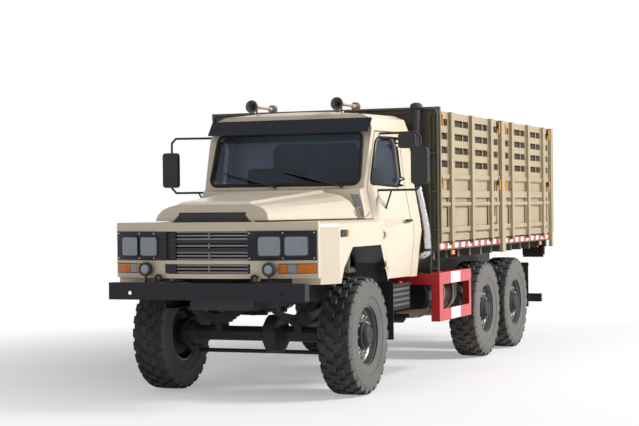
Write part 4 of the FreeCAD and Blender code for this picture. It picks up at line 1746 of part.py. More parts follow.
def gate_panel(length, height_low, height_high, rib_positions):
    """Gate in its own frame: x along it, y out of it, z up, with two tiers and upright ribs."""
    sheet = box(0, length, 0, GATE_SHEET, height_low, height_high)
    border = GATE_FRAME_WIDTH
    recess_low = box(border, length - border, GATE_SHEET * 0.5, GATE_SHEET + 1.0, height_low + border,
                     TIER_Z - border / 2.0)
    sheet = sheet.cut(recess_low)
    bulge = box(border, length - border, 0, GATE_SHEET + RIB_BULGE, BULGE_LOW_Z, BULGE_HIGH_Z)
    pieces = [sheet, bulge]
    for position in rib_positions:
        pieces.append(box(position - GATE_RIB_WIDTH / 2.0, position + GATE_RIB_WIDTH / 2.0, GATE_SHEET * 0.5,
                          GATE_SHEET + GATE_RIB_DEPTH, height_low, height_high))
    pieces.append(box(0, length, 0, GATE_SHEET + RIB_BULGE, TIER_Z - TIER_FLANGE, TIER_Z + TIER_FLANGE))
    panel = fused(pieces)
    slots = []
    edges = [0.0] + list(rib_positions) + [length]
    for start, end in zip(edges, edges[1:]):
        low = start + (GATE_RIB_WIDTH / 2.0 if start > 0.0 else 0.0) + SLOT_MARGIN
        high = end - (GATE_RIB_WIDTH / 2.0 if end < length else 0.0) - SLOT_MARGIN
        if high - low < SLOT_MARGIN:
            continue
        for row in SLOT_ROWS:
            slots.append(box(low, high, -1.0, GATE_SHEET + 1.0, row - SLOT_HEIGHT / 2.0,
                             row + SLOT_HEIGHT / 2.0))
    return panel.cut(Part.makeCompound(slots))


def gate_holes():
    """Cutters for the column of square holes near the rear end of a side gate."""
    holes = []
    for z in SLOT_ROWS + LOW_HOLE_ROWS:
        half = (SLOT_HEIGHT if z in SLOT_ROWS else LOW_HOLE_HEIGHT) / 2.0
        holes.append(box(GATE_HOLE_INSET, GATE_HOLE_INSET + GATE_HOLE_WIDTH, -1.0, GATE_SHEET + 1.0,
                         z - half, z + half))
    return holes


def side_gate(which, side):
    """Drop side of two tiers with square holes at its rear end, hinged at the foot of its ribs."""
    low, high = gate_spans()[which]
    length = high - low
    ribs = [length / 2.0 + shift * GATE_RIB_PITCH for shift in (-1.0, 0.0, 1.0)]
    panel = gate_panel(length, GATE_BOTTOM_Z, GATE_TOP_Z, ribs).cut(Part.makeCompound(gate_holes()))
    panel.rotate(vec(0, 0, 0), Z_DIRECTION, -90)
    panel.translate(vec(BODY_HALF_WIDTH - GATE_SHEET - GATE_RIB_DEPTH, high, 0))
    eyes = [hinge_eye(vec(BODY_HALF_WIDTH - GATE_HINGE_INSET, high - rib, GATE_HINGE_Z), Y_DIRECTION)
            for rib in ribs]
    return on_side(fused([panel] + eyes), side)


def hinge_eye(centre, axis):
    """Eye that hangs below a gate rib, with its pin hole."""
    half = axis * (GATE_RIB_WIDTH / 4.0)
    barrel = rod(centre - half, centre + half, GATE_HINGE_INSET)
    across = X_DIRECTION if abs(axis.y) > 0.5 else Y_DIRECTION
    strap_low = centre - half - across * GATE_HINGE_INSET
    strap_high = centre + half + across * GATE_HINGE_INSET
    strap = box(min(strap_low.x, strap_high.x), max(strap_low.x, strap_high.x),
                min(strap_low.y, strap_high.y),
                max(strap_low.y, strap_high.y), centre.z, GATE_BOTTOM_Z + GATE_FRAME_WIDTH / 2.0)
    eye = barrel.fuse(strap)
    return eye.cut(bore(centre - half * 1.5, centre + half * 1.5, HINGE_PIN_RADIUS))


def tailgate():
    """Rear gate of two tiers between the rear posts, hinged at its foot."""
    half = BODY_HALF_WIDTH
    length = 2.0 * half
    ribs = [length / 2.0 + shift * GATE_RIB_PITCH for shift in (-1.0, 0.0, 1.0)]
    panel = gate_panel(length, GATE_BOTTOM_Z, GATE_TOP_Z, ribs)
    panel.rotate(vec(0, 0, 0), Z_DIRECTION, 180)
    panel.translate(vec(half, 0, 0))
    panel = panel.mirror(vec(0, 0, 0), Y_DIRECTION)
    panel.translate(vec(0, BODY_REAR_Y - GATE_SHEET - GATE_RIB_DEPTH, 0))
    eyes = [hinge_eye(vec(rib - half, BODY_REAR_Y - GATE_HINGE_INSET, GATE_HINGE_Z), X_DIRECTION)
            for rib in ribs]
    return fused([panel] + eyes)


def gate_pins():
    """Hinge pins of all gates, each in two lugs on the deck's edge."""
    pieces = []
    for low, high in gate_spans().values():
        middle = (low + high) / 2.0
        for shift in (-1.0, 0.0, 1.0):
            centre = vec(BODY_HALF_WIDTH - GATE_HINGE_INSET, middle + shift * GATE_RIB_PITCH, GATE_HINGE_Z)
            pieces += [hinge_pin(centre, Y_DIRECTION), mirrored(hinge_pin(centre, Y_DIRECTION))]
    for shift in (-1.0, 0.0, 1.0):
        centre = vec(shift * GATE_RIB_PITCH, BODY_REAR_Y - GATE_HINGE_INSET, GATE_HINGE_Z)
        pieces.append(hinge_pin(centre, X_DIRECTION))
    return pieces


def hinge_pin(centre, axis):
    """Pin with a lug at each end that reaches back to the deck."""
    half = axis * (GATE_RIB_WIDTH / 4.0 + PIN_LUG)
    pieces = [rod(centre - half, centre + half, HINGE_PIN_RADIUS)]
    for end in (-1.0, 1.0):
        near = centre + axis * (end * (GATE_RIB_WIDTH / 4.0 + PIN_LUG_GAP))
        far = centre + half * end
        if abs(axis.y) > 0.5:
            lug = box(DECK_HALF_WIDTH, centre.x + HINGE_PIN_RADIUS, min(near.y, far.y), max(near.y, far.y),
                      centre.z - GATE_HINGE_INSET, centre.z + HINGE_PIN_RADIUS)
        else:
            lug = box(min(near.x, far.x), max(near.x, far.x), BODY_REAR_Y - GATE_RIB_DEPTH - GATE_GAP,
                      centre.y + HINGE_PIN_RADIUS, centre.z - GATE_HINGE_INSET, centre.z + HINGE_PIN_RADIUS)
        pieces.append(lug)
    return fused(pieces)


def air_intake():
    """Mushroom cap over an upright duct behind the cab, bent in at its foot."""
    cap_profile = [(0, 0), (0, INTAKE_DOME_RADIUS), (INTAKE_DOME_HEIGHT * 0.6, INTAKE_DOME_RADIUS),
                   (INTAKE_DOME_HEIGHT, INTAKE_DOME_RADIUS * 0.55), (INTAKE_DOME_HEIGHT, 0)]
    cap = turned(cap_profile, vec(INTAKE_X, INTAKE_Y, INTAKE_DOME_Z), Z_DIRECTION)
    duct = rod(vec(INTAKE_X, INTAKE_Y, INTAKE_BOTTOM_Z), vec(INTAKE_X, INTAKE_Y, INTAKE_DOME_Z),
               INTAKE_PIPE_RADIUS)
    foot = bent_rod([vec(INTAKE_X, INTAKE_Y, INTAKE_BOTTOM_Z + INTAKE_PIPE_RADIUS),
                     vec(INTAKE_X, INTAKE_Y, INTAKE_BOTTOM_Z), vec(GEARBOX_HALF_WIDTH, INTAKE_Y,
                                                                   INTAKE_BOTTOM_Z)],
                    INTAKE_PIPE_RADIUS)
    brackets = []
    for z in INTAKE_BRACKET_HEIGHTS:
        brackets.append(box(INTAKE_X - INTAKE_PIPE_RADIUS / 2.0, INTAKE_X + INTAKE_PIPE_RADIUS / 2.0,
                            CAB_REAR_Y,
                            INTAKE_Y, z, z + INTAKE_PIPE_RADIUS))
    return fused([cap, duct, foot] + brackets)


# Build

def all_pieces():
    """Every node with its finished shape."""
    shell = cab_shell()
    panels = cab_panels(shell)
    floor = panels.pop("cab_floor").multiFuse(cab_mounts().Solids)
    pieces = {"chassis_rails": chassis_rails(), "cross_members": cross_members(),
              "front_bumper": front_bumper(),
              "rear_underrun": rear_underrun(), "engine_block": engine_block(), "radiator": radiator(),
              "driveline": driveline(), "front_axle": front_axle(), "bogie_axles": bogie_axles(),
              "leaf_springs": Part.makeCompound([front_springs(), bogie_suspension()]), "tie_rod": tie_rod(),
              "cab_floor": floor, "cab_glass": cab_glass(), "sun_visor": sun_visor(),
              "roof_horns": roof_horns(),
              "seats": seats(), "dashboard": dashboard(), "steering_wheel": steering_wheel(),
              "bonnet": bonnet(),
              "fenders": both_sides(fender()), "front_panel": front_panel(), "grille": grille(),
              "front_lamps": front_lamps(), "fuel_tanks": fuel_tanks(), "battery_box": battery_box(),
              "steps": steps(), "side_guards": side_guards(), "mudflaps": mudflaps(), "bed_deck": bed_deck(),
              "headboard": headboard(), "bed_posts": bed_posts(), "tailgate": tailgate(),
              "air_intake": air_intake()}
    pieces.update(panels)
    pieces["cab_roof"] = fused([panels["cab_roof"]] + horn_pads())
    for side, sign in SIDES.items():
        pieces["knuckle_" + side] = on_side(knuckle(), side)
        pieces["door_" + side] = door(side)
        pieces["door_glass_" + side] = door_glass(side)
        pieces["mirror_" + side] = mirror(side)
        for which in gate_spans():
            pieces["gate_" + which + "_" + side] = side_gate(which, side)
        for name, station in zip(AXLE_NAMES, AXLE_STATIONS):
            pieces["tyre_" + name + "_" + side] = tyre(sign * TRACK / 2.0, station)
            pieces["wheel_" + name + "_" + side] = on_side(disc_wheel(station), side)
    return pieces


def main():
    """Build every piece, move it to the model's origin and write its file."""
    os.makedirs("parts", exist_ok=True)
    for name, shape in all_pieces().items():
        placed = shape.copy()
        placed.translate(vec(0, MODEL_SHIFT_Y, 0))
        placed.exportStep("parts/" + name + ".step")
        print(name, len(placed.Solids), placed.isValid(), round(placed.Volume / 1e6, 2))


main()
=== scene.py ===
"""Looks of a bonneted six wheel drive cargo truck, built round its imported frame."""

import logging
import math
import random
from dataclasses import dataclass, replace
from enum import Enum
from typing import Optional, Sequence

import bpy
from mathutils import Matrix, Vector


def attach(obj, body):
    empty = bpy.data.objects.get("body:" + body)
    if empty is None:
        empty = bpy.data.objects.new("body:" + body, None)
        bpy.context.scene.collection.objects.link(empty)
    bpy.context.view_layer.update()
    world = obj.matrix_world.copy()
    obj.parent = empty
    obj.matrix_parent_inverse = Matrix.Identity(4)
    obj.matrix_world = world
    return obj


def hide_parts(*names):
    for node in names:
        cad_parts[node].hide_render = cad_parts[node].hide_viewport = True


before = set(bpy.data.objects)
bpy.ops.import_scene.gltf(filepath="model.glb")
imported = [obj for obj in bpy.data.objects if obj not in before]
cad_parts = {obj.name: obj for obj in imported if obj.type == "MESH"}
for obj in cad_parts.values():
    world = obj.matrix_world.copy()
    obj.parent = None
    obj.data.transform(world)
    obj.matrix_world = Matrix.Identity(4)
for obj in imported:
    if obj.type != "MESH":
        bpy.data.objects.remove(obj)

Pair = tuple[float, float]
Triple = tuple[float, float, float]
Quad = tuple[float, float, float, float]
Outline = tuple[Pair, ...]
Piece = bpy.types.Object
Socket = bpy.types.NodeSocket

LOG = logging.getLogger("truck")
AXLE_SHIFT_Y = -2.581
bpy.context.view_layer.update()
OUTWARD: Triple = (1.0, 0.0, 0.0)
BEHIND: Triple = (0.0, 1.0, 0.0)
AHEAD: Triple = (0.0, -1.0, 0.0)
MIRROR = Matrix.Scale(-1.0, 4, Vector(OUTWARD))
SOFT_ANGLE = 32.0
SHARP_ANGLE = math.radians(30.0)
WHITE_LIGHT: Quad = (1.0, 1.0, 1.0, 1.0)
# Near-black painted shade under the wheel arches.
ARCH_PAINTED_SHADE: Quad = (0.012, 0.012, 0.014, 1.0)
DUST_HEIGHTS: Pair = (1.25, 0.15)
DUST_PATCHES: Pair = (0.38, 0.78)
DUST_EDGES: Pair = (0.25, 0.7)
MERGE_GAP = 0.00005
ARCH_SHADE_START_Y: Pair = (AXLE_SHIFT_Y - 0.76, AXLE_SHIFT_Y - 0.75)


class Side(Enum):
    """Left or right of the truck, as the frame's bodies and nodes name it."""

    LEFT = "left"
    RIGHT = "right"


class Axis(Enum):
    """Direction of a turned piece."""

    X = (1.0, 0.0, 0.0)
    Y = (0.0, 1.0, 0.0)
    Z = (0.0, 0.0, 1.0)


def at(x: float, y: float, z: float) -> Triple:
    """Point given from the front axle, put in the frame.

    Args:
        x: Distance to the truck's left, metres.
        y: Distance behind the front axle, metres.
        z: Height over the ground, metres.

    Returns:
        The same point in the frame's coordinates.
    """
    return (x, y + AXLE_SHIFT_Y, z)


def linear(colour: Triple) -> Quad:
    """Screen colour of 0 to 255 as a linear colour with full alpha."""
    shares = [part / 255.0 for part in colour]
    return (*(part / 12.92 if part <= 0.04045 else ((part + 0.055) / 1.055) ** 2.4 for part in shares), 1.0)


class Net:
    """Node tree of a material or world, with short ways to add its nodes."""

    def __init__(self, owner: bpy.types.ID) -> None:
        """Open the owner's node tree."""
        owner.use_nodes = True
        self.tree = owner.node_tree

    def find(self, kind: str) -> bpy.types.Node:
        """First node of a type."""
        return next(node for node in self.tree.nodes if node.type == kind)

    def feed(self, node: bpy.types.Node, feeds: dict[object, object]) -> None:
        """Join sockets to a node's inputs, or set plain values.

        Args:
            node: The node that takes them.
            feeds: Socket, number or colour for each input, by its name or number.
        """
        for key, value in feeds.items():
            if isinstance(value, Socket):
                self.tree.links.new(value, node.inputs[key])
            else:
                node.inputs[key].default_value = value

    def shade(self, feeds: dict[object, object]) -> None:
        """Set inputs of the material's Principled shader."""
        self.feed(self.find("BSDF_PRINCIPLED"), feeds)

    def add(self, kind: str, feeds: Optional[dict[object, object]] = None, **options: str) -> bpy.types.Node:
        """Add a node.

        Args:
            kind: Blender's name of the node type, after its common start.
            feeds: What its inputs get.
            options: The node's own choices.

        Returns:
            The new node.
        """
        node = self.tree.nodes.new(f"ShaderNode{kind}")
        for name, choice in options.items():
            setattr(node, name, choice)
        self.feed(node, feeds or {})
        return node

    def parts(self, vector: Socket) -> bpy.types.NodeOutputs:
        """The X, Y and Z of a vector."""
        return self.add("SeparateXYZ", {0: vector}).outputs

    def noise(self, vector: Socket, scale: float, detail: float, rough: float) -> Socket:
        """Noise value at a scale, with its octaves and their strength."""
        return self.add("TexNoise", {"Vector": vector, "Scale": scale, "Detail": detail,
                                     "Roughness": rough}).outputs[0]

    def ramp(self, value: Socket, low: float, high: float) -> Socket:
        """Black to white over a value's range.

        Args:
            value: What is looked up.
            low: Where black ends.
            high: Where white starts.

        Returns:
            The ramp's colour socket.
        """
        node = self.add("ValToRGB", {"Fac": value})
        for stop, spot in zip(node.color_ramp.elements, (low, high)):
            stop.position = spot
        return node.outputs["Color"]

    def math(self, kind: str, first: object, second: object = 0.0) -> Socket:
        """Arithmetic on two sockets or numbers, by Blender's name of the operation."""
        return self.add("Math", {0: first, 1: second}, operation=kind).outputs[0]

    def spread(self, value: Socket, low: float, high: float, out_low: float, out_high: float) -> Socket:
        """Map a value's range to another, held at its ends.

        Args:
            value: Socket that is mapped.
            low: Start of the old range.
            high: End of the old range.
            out_low: Start of the new range.
            out_high: End of the new range.

        Returns:
            The mapped socket.
        """
        return self.add("MapRange", {"Value": value, "From Min": low, "From Max": high, "To Min": out_low,
                                     "To Max": out_high}).outputs["Result"]

    def mix(self, share: Socket, first: object, second: object) -> Socket:
        """Blend of two sockets or colours, by the share of the second."""
        return self.add("Mix", {0: share, 6: first, 7: second}, data_type="RGBA").outputs[2]

    def scaled(self, colour: Socket, amount: Socket) -> Socket:
        """Colour times a value."""
        return self.add("VectorMath", {0: colour, "Scale": amount}, operation="SCALE").outputs[0]

    def seen(self) -> Socket:
        """One for rays of the camera, off a mirror or through glass, nought for light on the object.

        Returns:
            The share's socket.
        """
        rays = self.add("LightPath").outputs
        clear = self.math("MAXIMUM", rays["Is Camera Ray"], rays["Is Transmission Ray"])
        return self.math("MAXIMUM", clear, rays["Is Glossy Ray"])

    def bump(self, height: Socket, strength: float, distance: float) -> None:
        """Add a bump to the shader.

        Args:
            height: Height socket.
            strength: Tenth of the bump node's strength.
            distance: Depth in metres.
        """
        feeds = {"Strength": min(1.0, strength * 10.0), "Distance": distance, "Height": height}
        node = self.add("Bump", feeds)
        self.shade({"Normal": node.outputs["Normal"]})


@dataclass(frozen=True)
class Look:
    """Surface whose material is made once, under its name."""

    name: str
    colour: Triple

    def wire(self, net: Net) -> None:
        """Set up the material's nodes; each kind of surface has its own."""
        raise NotImplementedError

    def material(self) -> bpy.types.Material:
        """The surface's material, made when it is first asked for.

        Returns:
            The material with its nodes.
        """
        found = bpy.data.materials.get(self.name)
        if not found:
            found = bpy.data.materials.new(self.name)
            self.wire(Net(found))
        return found


@dataclass(frozen=True)
class Finish(Look):
    """Painted, cast or moulded surface: colour, dust in patches, grain and bump."""

    roughness: float = 0.5
    metallic: float = 0.0
    dust: float = 0.25
    dust_colour: Triple = (168, 150, 120)
    patch_scale: float = 2.2
    grain_scale: float = 90.0
    bump: float = 0.02
    low_dust: float = 0.0
    coat: float = 0.0
    speckle: float = 0.06
    arch_shade_height: float = 0.0
    side_colour: Optional[Triple] = None
    gloss: float = 0.5

    def wire(self, net: Net) -> None:
        """Lay patches of dust over the colour and add its grain.

        Args:
            net: The material's node tree.
        """
        place = net.add("TexCoord").outputs
        patch = net.noise(place["Object"], self.patch_scale, 5.0, 0.6)
        amount = net.math("MULTIPLY", net.ramp(patch, *DUST_PATCHES), self.dust)
        if self.low_dust > 0.0:
            height = net.spread(net.parts(place["Object"])["Z"], *DUST_HEIGHTS, 0.0, self.low_dust)
            ragged = net.spread(patch, *DUST_EDGES, 0.35, 1.0)
            amount = net.math("ADD", amount, net.math("MULTIPLY", height, ragged))
        grain = net.noise(place["Object"], self.grain_scale, 3.0, 0.55)
        base = net.mix(amount, linear(self.colour), linear(self.dust_colour))
        if self.side_colour:
            across = net.spread(net.math("ABSOLUTE", net.parts(place["Normal"])["X"]), 0.6, 0.85, 0.0, 0.9)
            ragged = net.spread(patch, *DUST_EDGES, 0.7, 1.0)
            base = net.mix(net.math("MULTIPLY", across, ragged), base, linear(self.side_colour))
        # Painted shade: near black on the fender's faces under the wheel arches.
        if self.arch_shade_height > 0.0:
            base = net.mix(self.arch_shade_share(net, place), base, ARCH_PAINTED_SHADE)
        shade = net.spread(grain, 0.2, 0.8, 1.0 - self.speckle, 1.0 + self.speckle)
        smooth, matt = max(0.04, self.roughness - 0.08), min(1.0, self.roughness + 0.18)
        rough = net.spread(patch, 0.3, 0.8, smooth, matt)
        net.shade({"Base Color": net.scaled(base, shade), "Roughness": rough, "Metallic": self.metallic,
                   "Specular IOR Level": self.gloss, "Coat Weight": self.coat, "Coat Roughness": 0.12})
        if self.bump > 0.0:
            net.bump(grain, self.bump, 0.002)

    def arch_shade_share(self, net: Net, place: bpy.types.NodeOutputs) -> Socket:
        """Share of painted shade under the wheel arches: black on faces that look down or along the truck,
        below a height.

        Args:
            net: The material's node tree.
            place: The texture coordinates.

        Returns:
            The share, nought on the outer skin.
        """
        spot, facing = net.parts(place["Object"]), net.parts(place["Normal"])
        across = net.spread(net.math("ABSOLUTE", facing["X"]), 0.6, 0.65, 1.0, 0.0)
        level = net.spread(facing["Z"], 0.15, 0.2, 1.0, 0.0)
        behind = net.spread(spot["Y"], *ARCH_SHADE_START_Y, 0.0, 1.0)
        low = net.spread(spot["Z"], self.arch_shade_height, self.arch_shade_height - 0.01, 0.0, 1.0)
        return net.math("MULTIPLY", net.math("MULTIPLY", across, level), net.math("MULTIPLY", behind, low))


@dataclass(frozen=True)
class LampGlass(Look):
    """Clear or tinted moulded lens with fine ribs."""

    ribs: float = 60.0
    clear: float = 0.9

    def wire(self, net: Net) -> None:
        """Ribbed glass, a little uneven in its tint.

        Args:
            net: The material's node tree.
        """
        place = net.add("TexCoord").outputs["Object"]
        wave = net.add("TexWave", {"Scale": self.ribs, "Vector": place})
        shade = net.noise(place, 14.0, 2.0, 0.5)
        tint = net.mix(net.spread(shade, 0.3, 0.8, 0.0, 0.35), linear(self.colour),
                       linear(tuple(0.8 * part for part in self.colour)))
        net.shade({"Base Color": net.scaled(tint, net.spread(shade, 0.0, 1.0, 0.9, 1.1)), "Roughness": 0.06,
                   "Transmission Weight": self.clear, "IOR": 1.35})
        net.bump(wave.outputs["Fac"], 0.08, 0.0006)


@dataclass(frozen=True)
class Glazing(Look):
    """Clear panes of the cab."""

    name: str = "window_glass_look"
    colour: Triple = (168, 186, 214)
    panes: tuple[str, ...] = ("cab_glass", "door_glass_left", "door_glass_right")

    def wire(self, net: Net) -> None:
        """Glass that is seen through."""
        net.shade({"Base Color": linear(self.colour), "Roughness": 0.02, "IOR": 1.3,
                   "Transmission Weight": 1.0})

    def dress(self) -> None:
        """Put the glass on every pane."""
        for name in self.panes:
            paint(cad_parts[name], self)


class Finishes:
    """The truck's finishes: name, colour, roughness, metal, dust and its colour, then what is special."""

    SAND = Finish("sand_body_paint", (224, 210, 188), 0.36, 0.0, 0.10, (198, 184, 160), low_dust=0.16,
                  coat=0.35, bump=0.004, speckle=0.02)
    # Sand paint with painted shade under the wheel arches.
    ARCH_SHADED = replace(SAND, name="fender_paint_arch_shade", arch_shade_height=1.45)
    KHAKI = Finish("khaki_bed_paint", (172, 157, 130), 0.5, 0.0, 0.30, (140, 126, 102), low_dust=0.10,
                   bump=0.012, speckle=0.05, gloss=0.35)
    # Painted shade: the headboard's dark olive stands for the shade on its forward face behind the cab.
    HEADBOARD_SHADE = Finish("olive_headboard_paint", (86, 80, 66), 0.55, 0.0, 0.25, (120, 110, 92), bump=0.012,
                   gloss=0.3)
    BLACK = Finish("black_chassis_paint", (30, 31, 36), 0.5, 0.0, 0.22, (92, 84, 72), low_dust=0.30,
                   gloss=0.25)
    BUMPER = Finish("dark_bumper_paint", (36, 36, 43), 0.45, 0.0, 0.12, (64, 62, 64), coat=0.1, gloss=0.2)
    CASTING = Finish("grey_casting", (44, 46, 52), 0.6, 0.3, 0.35, (96, 88, 76), low_dust=0.35, gloss=0.25)
    ENGINE = Finish("engine_paint", (58, 62, 62), 0.55, 0.1, 0.3, (96, 90, 80))
    WHEEL = Finish("grey_wheel_paint", (112, 112, 114), 0.32, 0.7, 0.35, (110, 104, 96), 6.0, low_dust=0.12)
    TRIM = Finish("black_trim", (24, 24, 27), 0.45, 0.0, 0.10, (70, 66, 60), gloss=0.25)
    FASCIA = Finish("dark_fascia", (30, 32, 42), 0.42, 0.0, 0.08, (56, 56, 60), coat=0.1, gloss=0.2)
    SLAT = Finish("slat_metal", (120, 120, 124), 0.35, 0.8, 0.15, (90, 86, 80))
    # Painted shade: dark boards for the shade inside the bed, seen through the gates' slots.
    SLOT_SHADE = Finish("dark_board", (52, 47, 41), 0.75, 0.0, 0.2, (80, 72, 60), bump=0.03)
    # Painted shade: khaki darkened for the shade under the deck, also used on the headboard tube.
    DECK = Finish("dark_khaki_painted_shade", (92, 84, 70), 0.6, 0.0, 0.3, (70, 64, 56))
    VISOR = Finish("dark_visor", (14, 18, 36), 0.3, 0.0, 0.05, (40, 42, 54), coat=0.2, bump=0.0, gloss=0.12)
    SILVER = Finish("bright_metal", (188, 190, 192), 0.28, 0.85, 0.12, (140, 136, 128), bump=0.006)
    FOIL = Finish("foil_wrap", (205, 207, 210), 0.22, 0.9, 0.1, grain_scale=34.0, bump=0.09, speckle=0.12)
    SEAT = Finish("seat_cover", (58, 58, 60), 0.85, 0.0, 0.15, (84, 80, 74), bump=0.05, gloss=0.2)
    RED = Finish("red_guard_paint", (196, 36, 44), 0.35, 0.0, 0.10, (150, 70, 60), coat=0.3)
    WHITE = Finish("white_marking", (236, 236, 236), 0.4, 0.0, 0.10, (190, 184, 174))
    RUBBER = Finish("black_rubber", (26, 26, 28), 0.7, 0.0, 0.35, (90, 84, 74), low_dust=0.3, gloss=0.25)
    TANK = Finish("dark_tank", (34, 34, 38), 0.35, 0.2, 0.2, (90, 84, 74), gloss=0.35)
    GOLD = Finish("gold_strap", (196, 158, 92), 0.35, 0.8, 0.15)
    AMBER_HANDLE = Finish("yellow_handle", (232, 160, 34), 0.45, 0.0, 0.15)
    BRASS = Finish("horn_tube", (196, 178, 150), 0.3, 0.8, 0.15)
    HORN_GREY = Finish("horn_grey", (96, 94, 90), 0.45, 0.3, 0.25)
    TYRE = Finish("tyre_rubber_look", (46, 47, 52), 0.82, 0.0, 0.42, (112, 106, 98), 3.5, 120.0,
                  low_dust=0.18, side_colour=(122, 120, 116), gloss=0.25)
    RUST = Finish("worn_step", (112, 84, 60), 0.7, 0.0, 0.3, (140, 118, 90), bump=0.03)
    # Grey of the stripes, also used for the painted shadow of the mirror stay on the door.
    STRIPE_AND_SHADOW = Finish("grey_stripe", (128, 136, 148), 0.35, 0.0, 0.1, (170, 172, 172), coat=0.3)
    GREY_PLASTIC = Finish("grey_plastic", (96, 98, 102), 0.5, 0.0, 0.1)


CLEAR_LENS = LampGlass("clear_lens", (214, 220, 230), 45.0, 0.6)
AMBER_LENS = LampGlass("amber_lens", (255, 140, 22), 80.0, 0.15)
RED_LENS = LampGlass("red_lens", (205, 22, 18), 80.0, 0.15)

NODE_NAMES: dict[Finish, str] = {
    Finishes.SAND: "cab_floor bonnet front_panel cab_roof cab_rear_wall cab_front_frame door_",
    Finishes.ARCH_SHADED: "fenders",
    Finishes.KHAKI: "bed_posts tailgate gate_",
    Finishes.HEADBOARD_SHADE: "headboard",
    Finishes.BUMPER: "front_bumper",
    Finishes.CASTING: "driveline front_axle bogie_axles tie_rod battery_box knuckle_",
    Finishes.ENGINE: "engine_block",
    Finishes.TRIM: "dashboard steering_wheel air_intake mirror_",
    Finishes.VISOR: "sun_visor",
    Finishes.HORN_GREY: "roof_horns",
    Finishes.SEAT: "seats",
    Finishes.SLAT: "grille",
    Finishes.FASCIA: "front_lamps",
    Finishes.TANK: "fuel_tanks",
    Finishes.RED: "side_guards",
    Finishes.RUBBER: "mudflaps tyre_",
    Finishes.DECK: "bed_deck",
    Finishes.WHEEL: "wheel_",
}


def node_finish(name: str) -> Finish:
    """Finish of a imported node, by its whole name or by a start that ends in a line, else chassis black.

    Args:
        name: The node's name.

    Returns:
        Its finish.
    """
    for finish, starts in NODE_NAMES.items():
        for start in starts.split():
            if name == start or (start.endswith("_") and name.startswith(start)):
                return finish
    return Finishes.BLACK


def paint(piece: Piece, look: Look) -> None:
    """Give a piece one material."""
    piece.data.materials.clear()
    piece.data.materials.append(look.material())


@dataclass
class Studio:
    """Camera, soft lights and pale floor."""

    eye: Triple = at(6.035, -13.641, 1.706)
    yaw: float = 21.752
    pitch: float = -0.265
    roll: float = -0.65
    lens: float = 91.2
    floor_half: float = 60.0
    floor_colour: Quad = (0.93, 0.93, 0.92, 1.0)
    fade: Pair = (2.5, 7.0)
    glow: Pair = (0.35, 1.0)
    backdrop: Pair = (0.26, 1.0)
    lamps: tuple[tuple[str, Triple, Triple, float, float], ...] = (
        ("key_light", (12.5, 2.0, 9.5), (0.0, -0.5, 1.4), 4.0, 2400.0),
        ("fill_light", (-4.0, -14.0, 7.0), (0.0, -1.0, 1.2), 7.0, 140.0))

    def camera(self) -> None:
        """Put the camera at the photograph's place."""
        yaw, pitch, roll = (math.radians(angle) for angle in (self.yaw, self.pitch, self.roll))
        ahead = Vector((-math.sin(yaw) * math.cos(pitch), math.cos(yaw) * math.cos(pitch), math.sin(pitch)))
        right = ahead.cross(Vector(Axis.Z.value)).normalized()
        up = right.cross(ahead)
        across, over = math.cos(roll), math.sin(roll)
        right, up = right * across + up * over, up * across - right * over
        data = bpy.data.cameras.new("view_camera")
        data.lens, data.sensor_width, data.clip_end = self.lens, 36.0, 200.0
        seen = bpy.data.objects.new("view_camera", data)
        turn = Matrix((right, up, -ahead)).transposed().to_4x4()
        seen.matrix_world = Matrix.Translation(Vector(self.eye)) @ turn
        bpy.context.scene.collection.objects.link(seen)
        bpy.context.scene.camera = seen

    def light(self, name: str, place: Triple, aim: Triple, size: float, power: float) -> None:
        """Soft square lamp aimed at a point.

        Args:
            name: The lamp's name.
            place: Where it stands.
            aim: What it looks at.
            size: Side of the square in metres.
            power: Watts.
        """
        data = bpy.data.lights.new(name, "AREA")
        data.size, data.energy = size, power
        lamp = bpy.data.objects.new(name, data)
        lamp.location = place
        lamp.rotation_euler = (Vector(aim) - Vector(place)).to_track_quat("-Z", "Y").to_euler()
        bpy.context.scene.collection.objects.link(lamp)

    def world(self) -> None:
        """White backdrop where it is seen, softer light on the object."""
        world = bpy.data.worlds.new("studio_world")
        net = Net(world)
        bpy.context.scene.world = world
        strength = net.spread(net.seen(), 0.0, 1.0, *self.backdrop)
        net.feed(net.find("BACKGROUND"), {"Strength": strength, "Color": WHITE_LIGHT})

    def floor(self) -> None:
        """Pale floor that keeps the shadow and fades into the backdrop."""
        bpy.ops.mesh.primitive_plane_add(size=2.0 * self.floor_half, location=(0.0, 0.0, -0.001))
        plane = bpy.context.object
        plane.name = "floor"
        ground = bpy.data.materials.new("floor_pale")
        net = Net(ground)
        net.shade({"Base Color": self.floor_colour, "Roughness": 1.0, "Specular IOR Level": 0.0})
        spot = net.add("TexCoord").outputs["Object"]
        length = net.add("VectorMath", {0: spot}, operation="LENGTH").outputs["Value"]
        far = net.spread(length, *self.fade, *self.glow)
        white = net.add("Emission", {"Color": WHITE_LIGHT})
        blend = net.add("MixShader", {0: net.math("MULTIPLY", far, net.seen()),
                                      1: net.find("BSDF_PRINCIPLED").outputs[0], 2: white.outputs[0]})
        net.feed(net.find("OUTPUT_MATERIAL"), {"Surface": blend.outputs[0]})
        plane.data.materials.append(ground)

    def build(self) -> None:
        """Set up the whole studio."""
        bpy.context.scene.view_settings.view_transform = "Standard"
        self.camera()
        self.world()
        self.floor()
        for lamp in self.lamps:
            self.light(*lamp)


def pick(*pieces: Piece) -> None:
    """Leave edit mode and select only these pieces, the first of them active.

    Args:
        pieces: The pieces, in order.
    """
    if bpy.context.object and bpy.context.object.mode != "OBJECT":
        bpy.ops.object.mode_set(mode="OBJECT")
    bpy.ops.object.select_all(action="DESELECT")
    for piece in pieces:
        piece.select_set(True)
    if pieces:
        bpy.context.view_layer.objects.active = pieces[0]


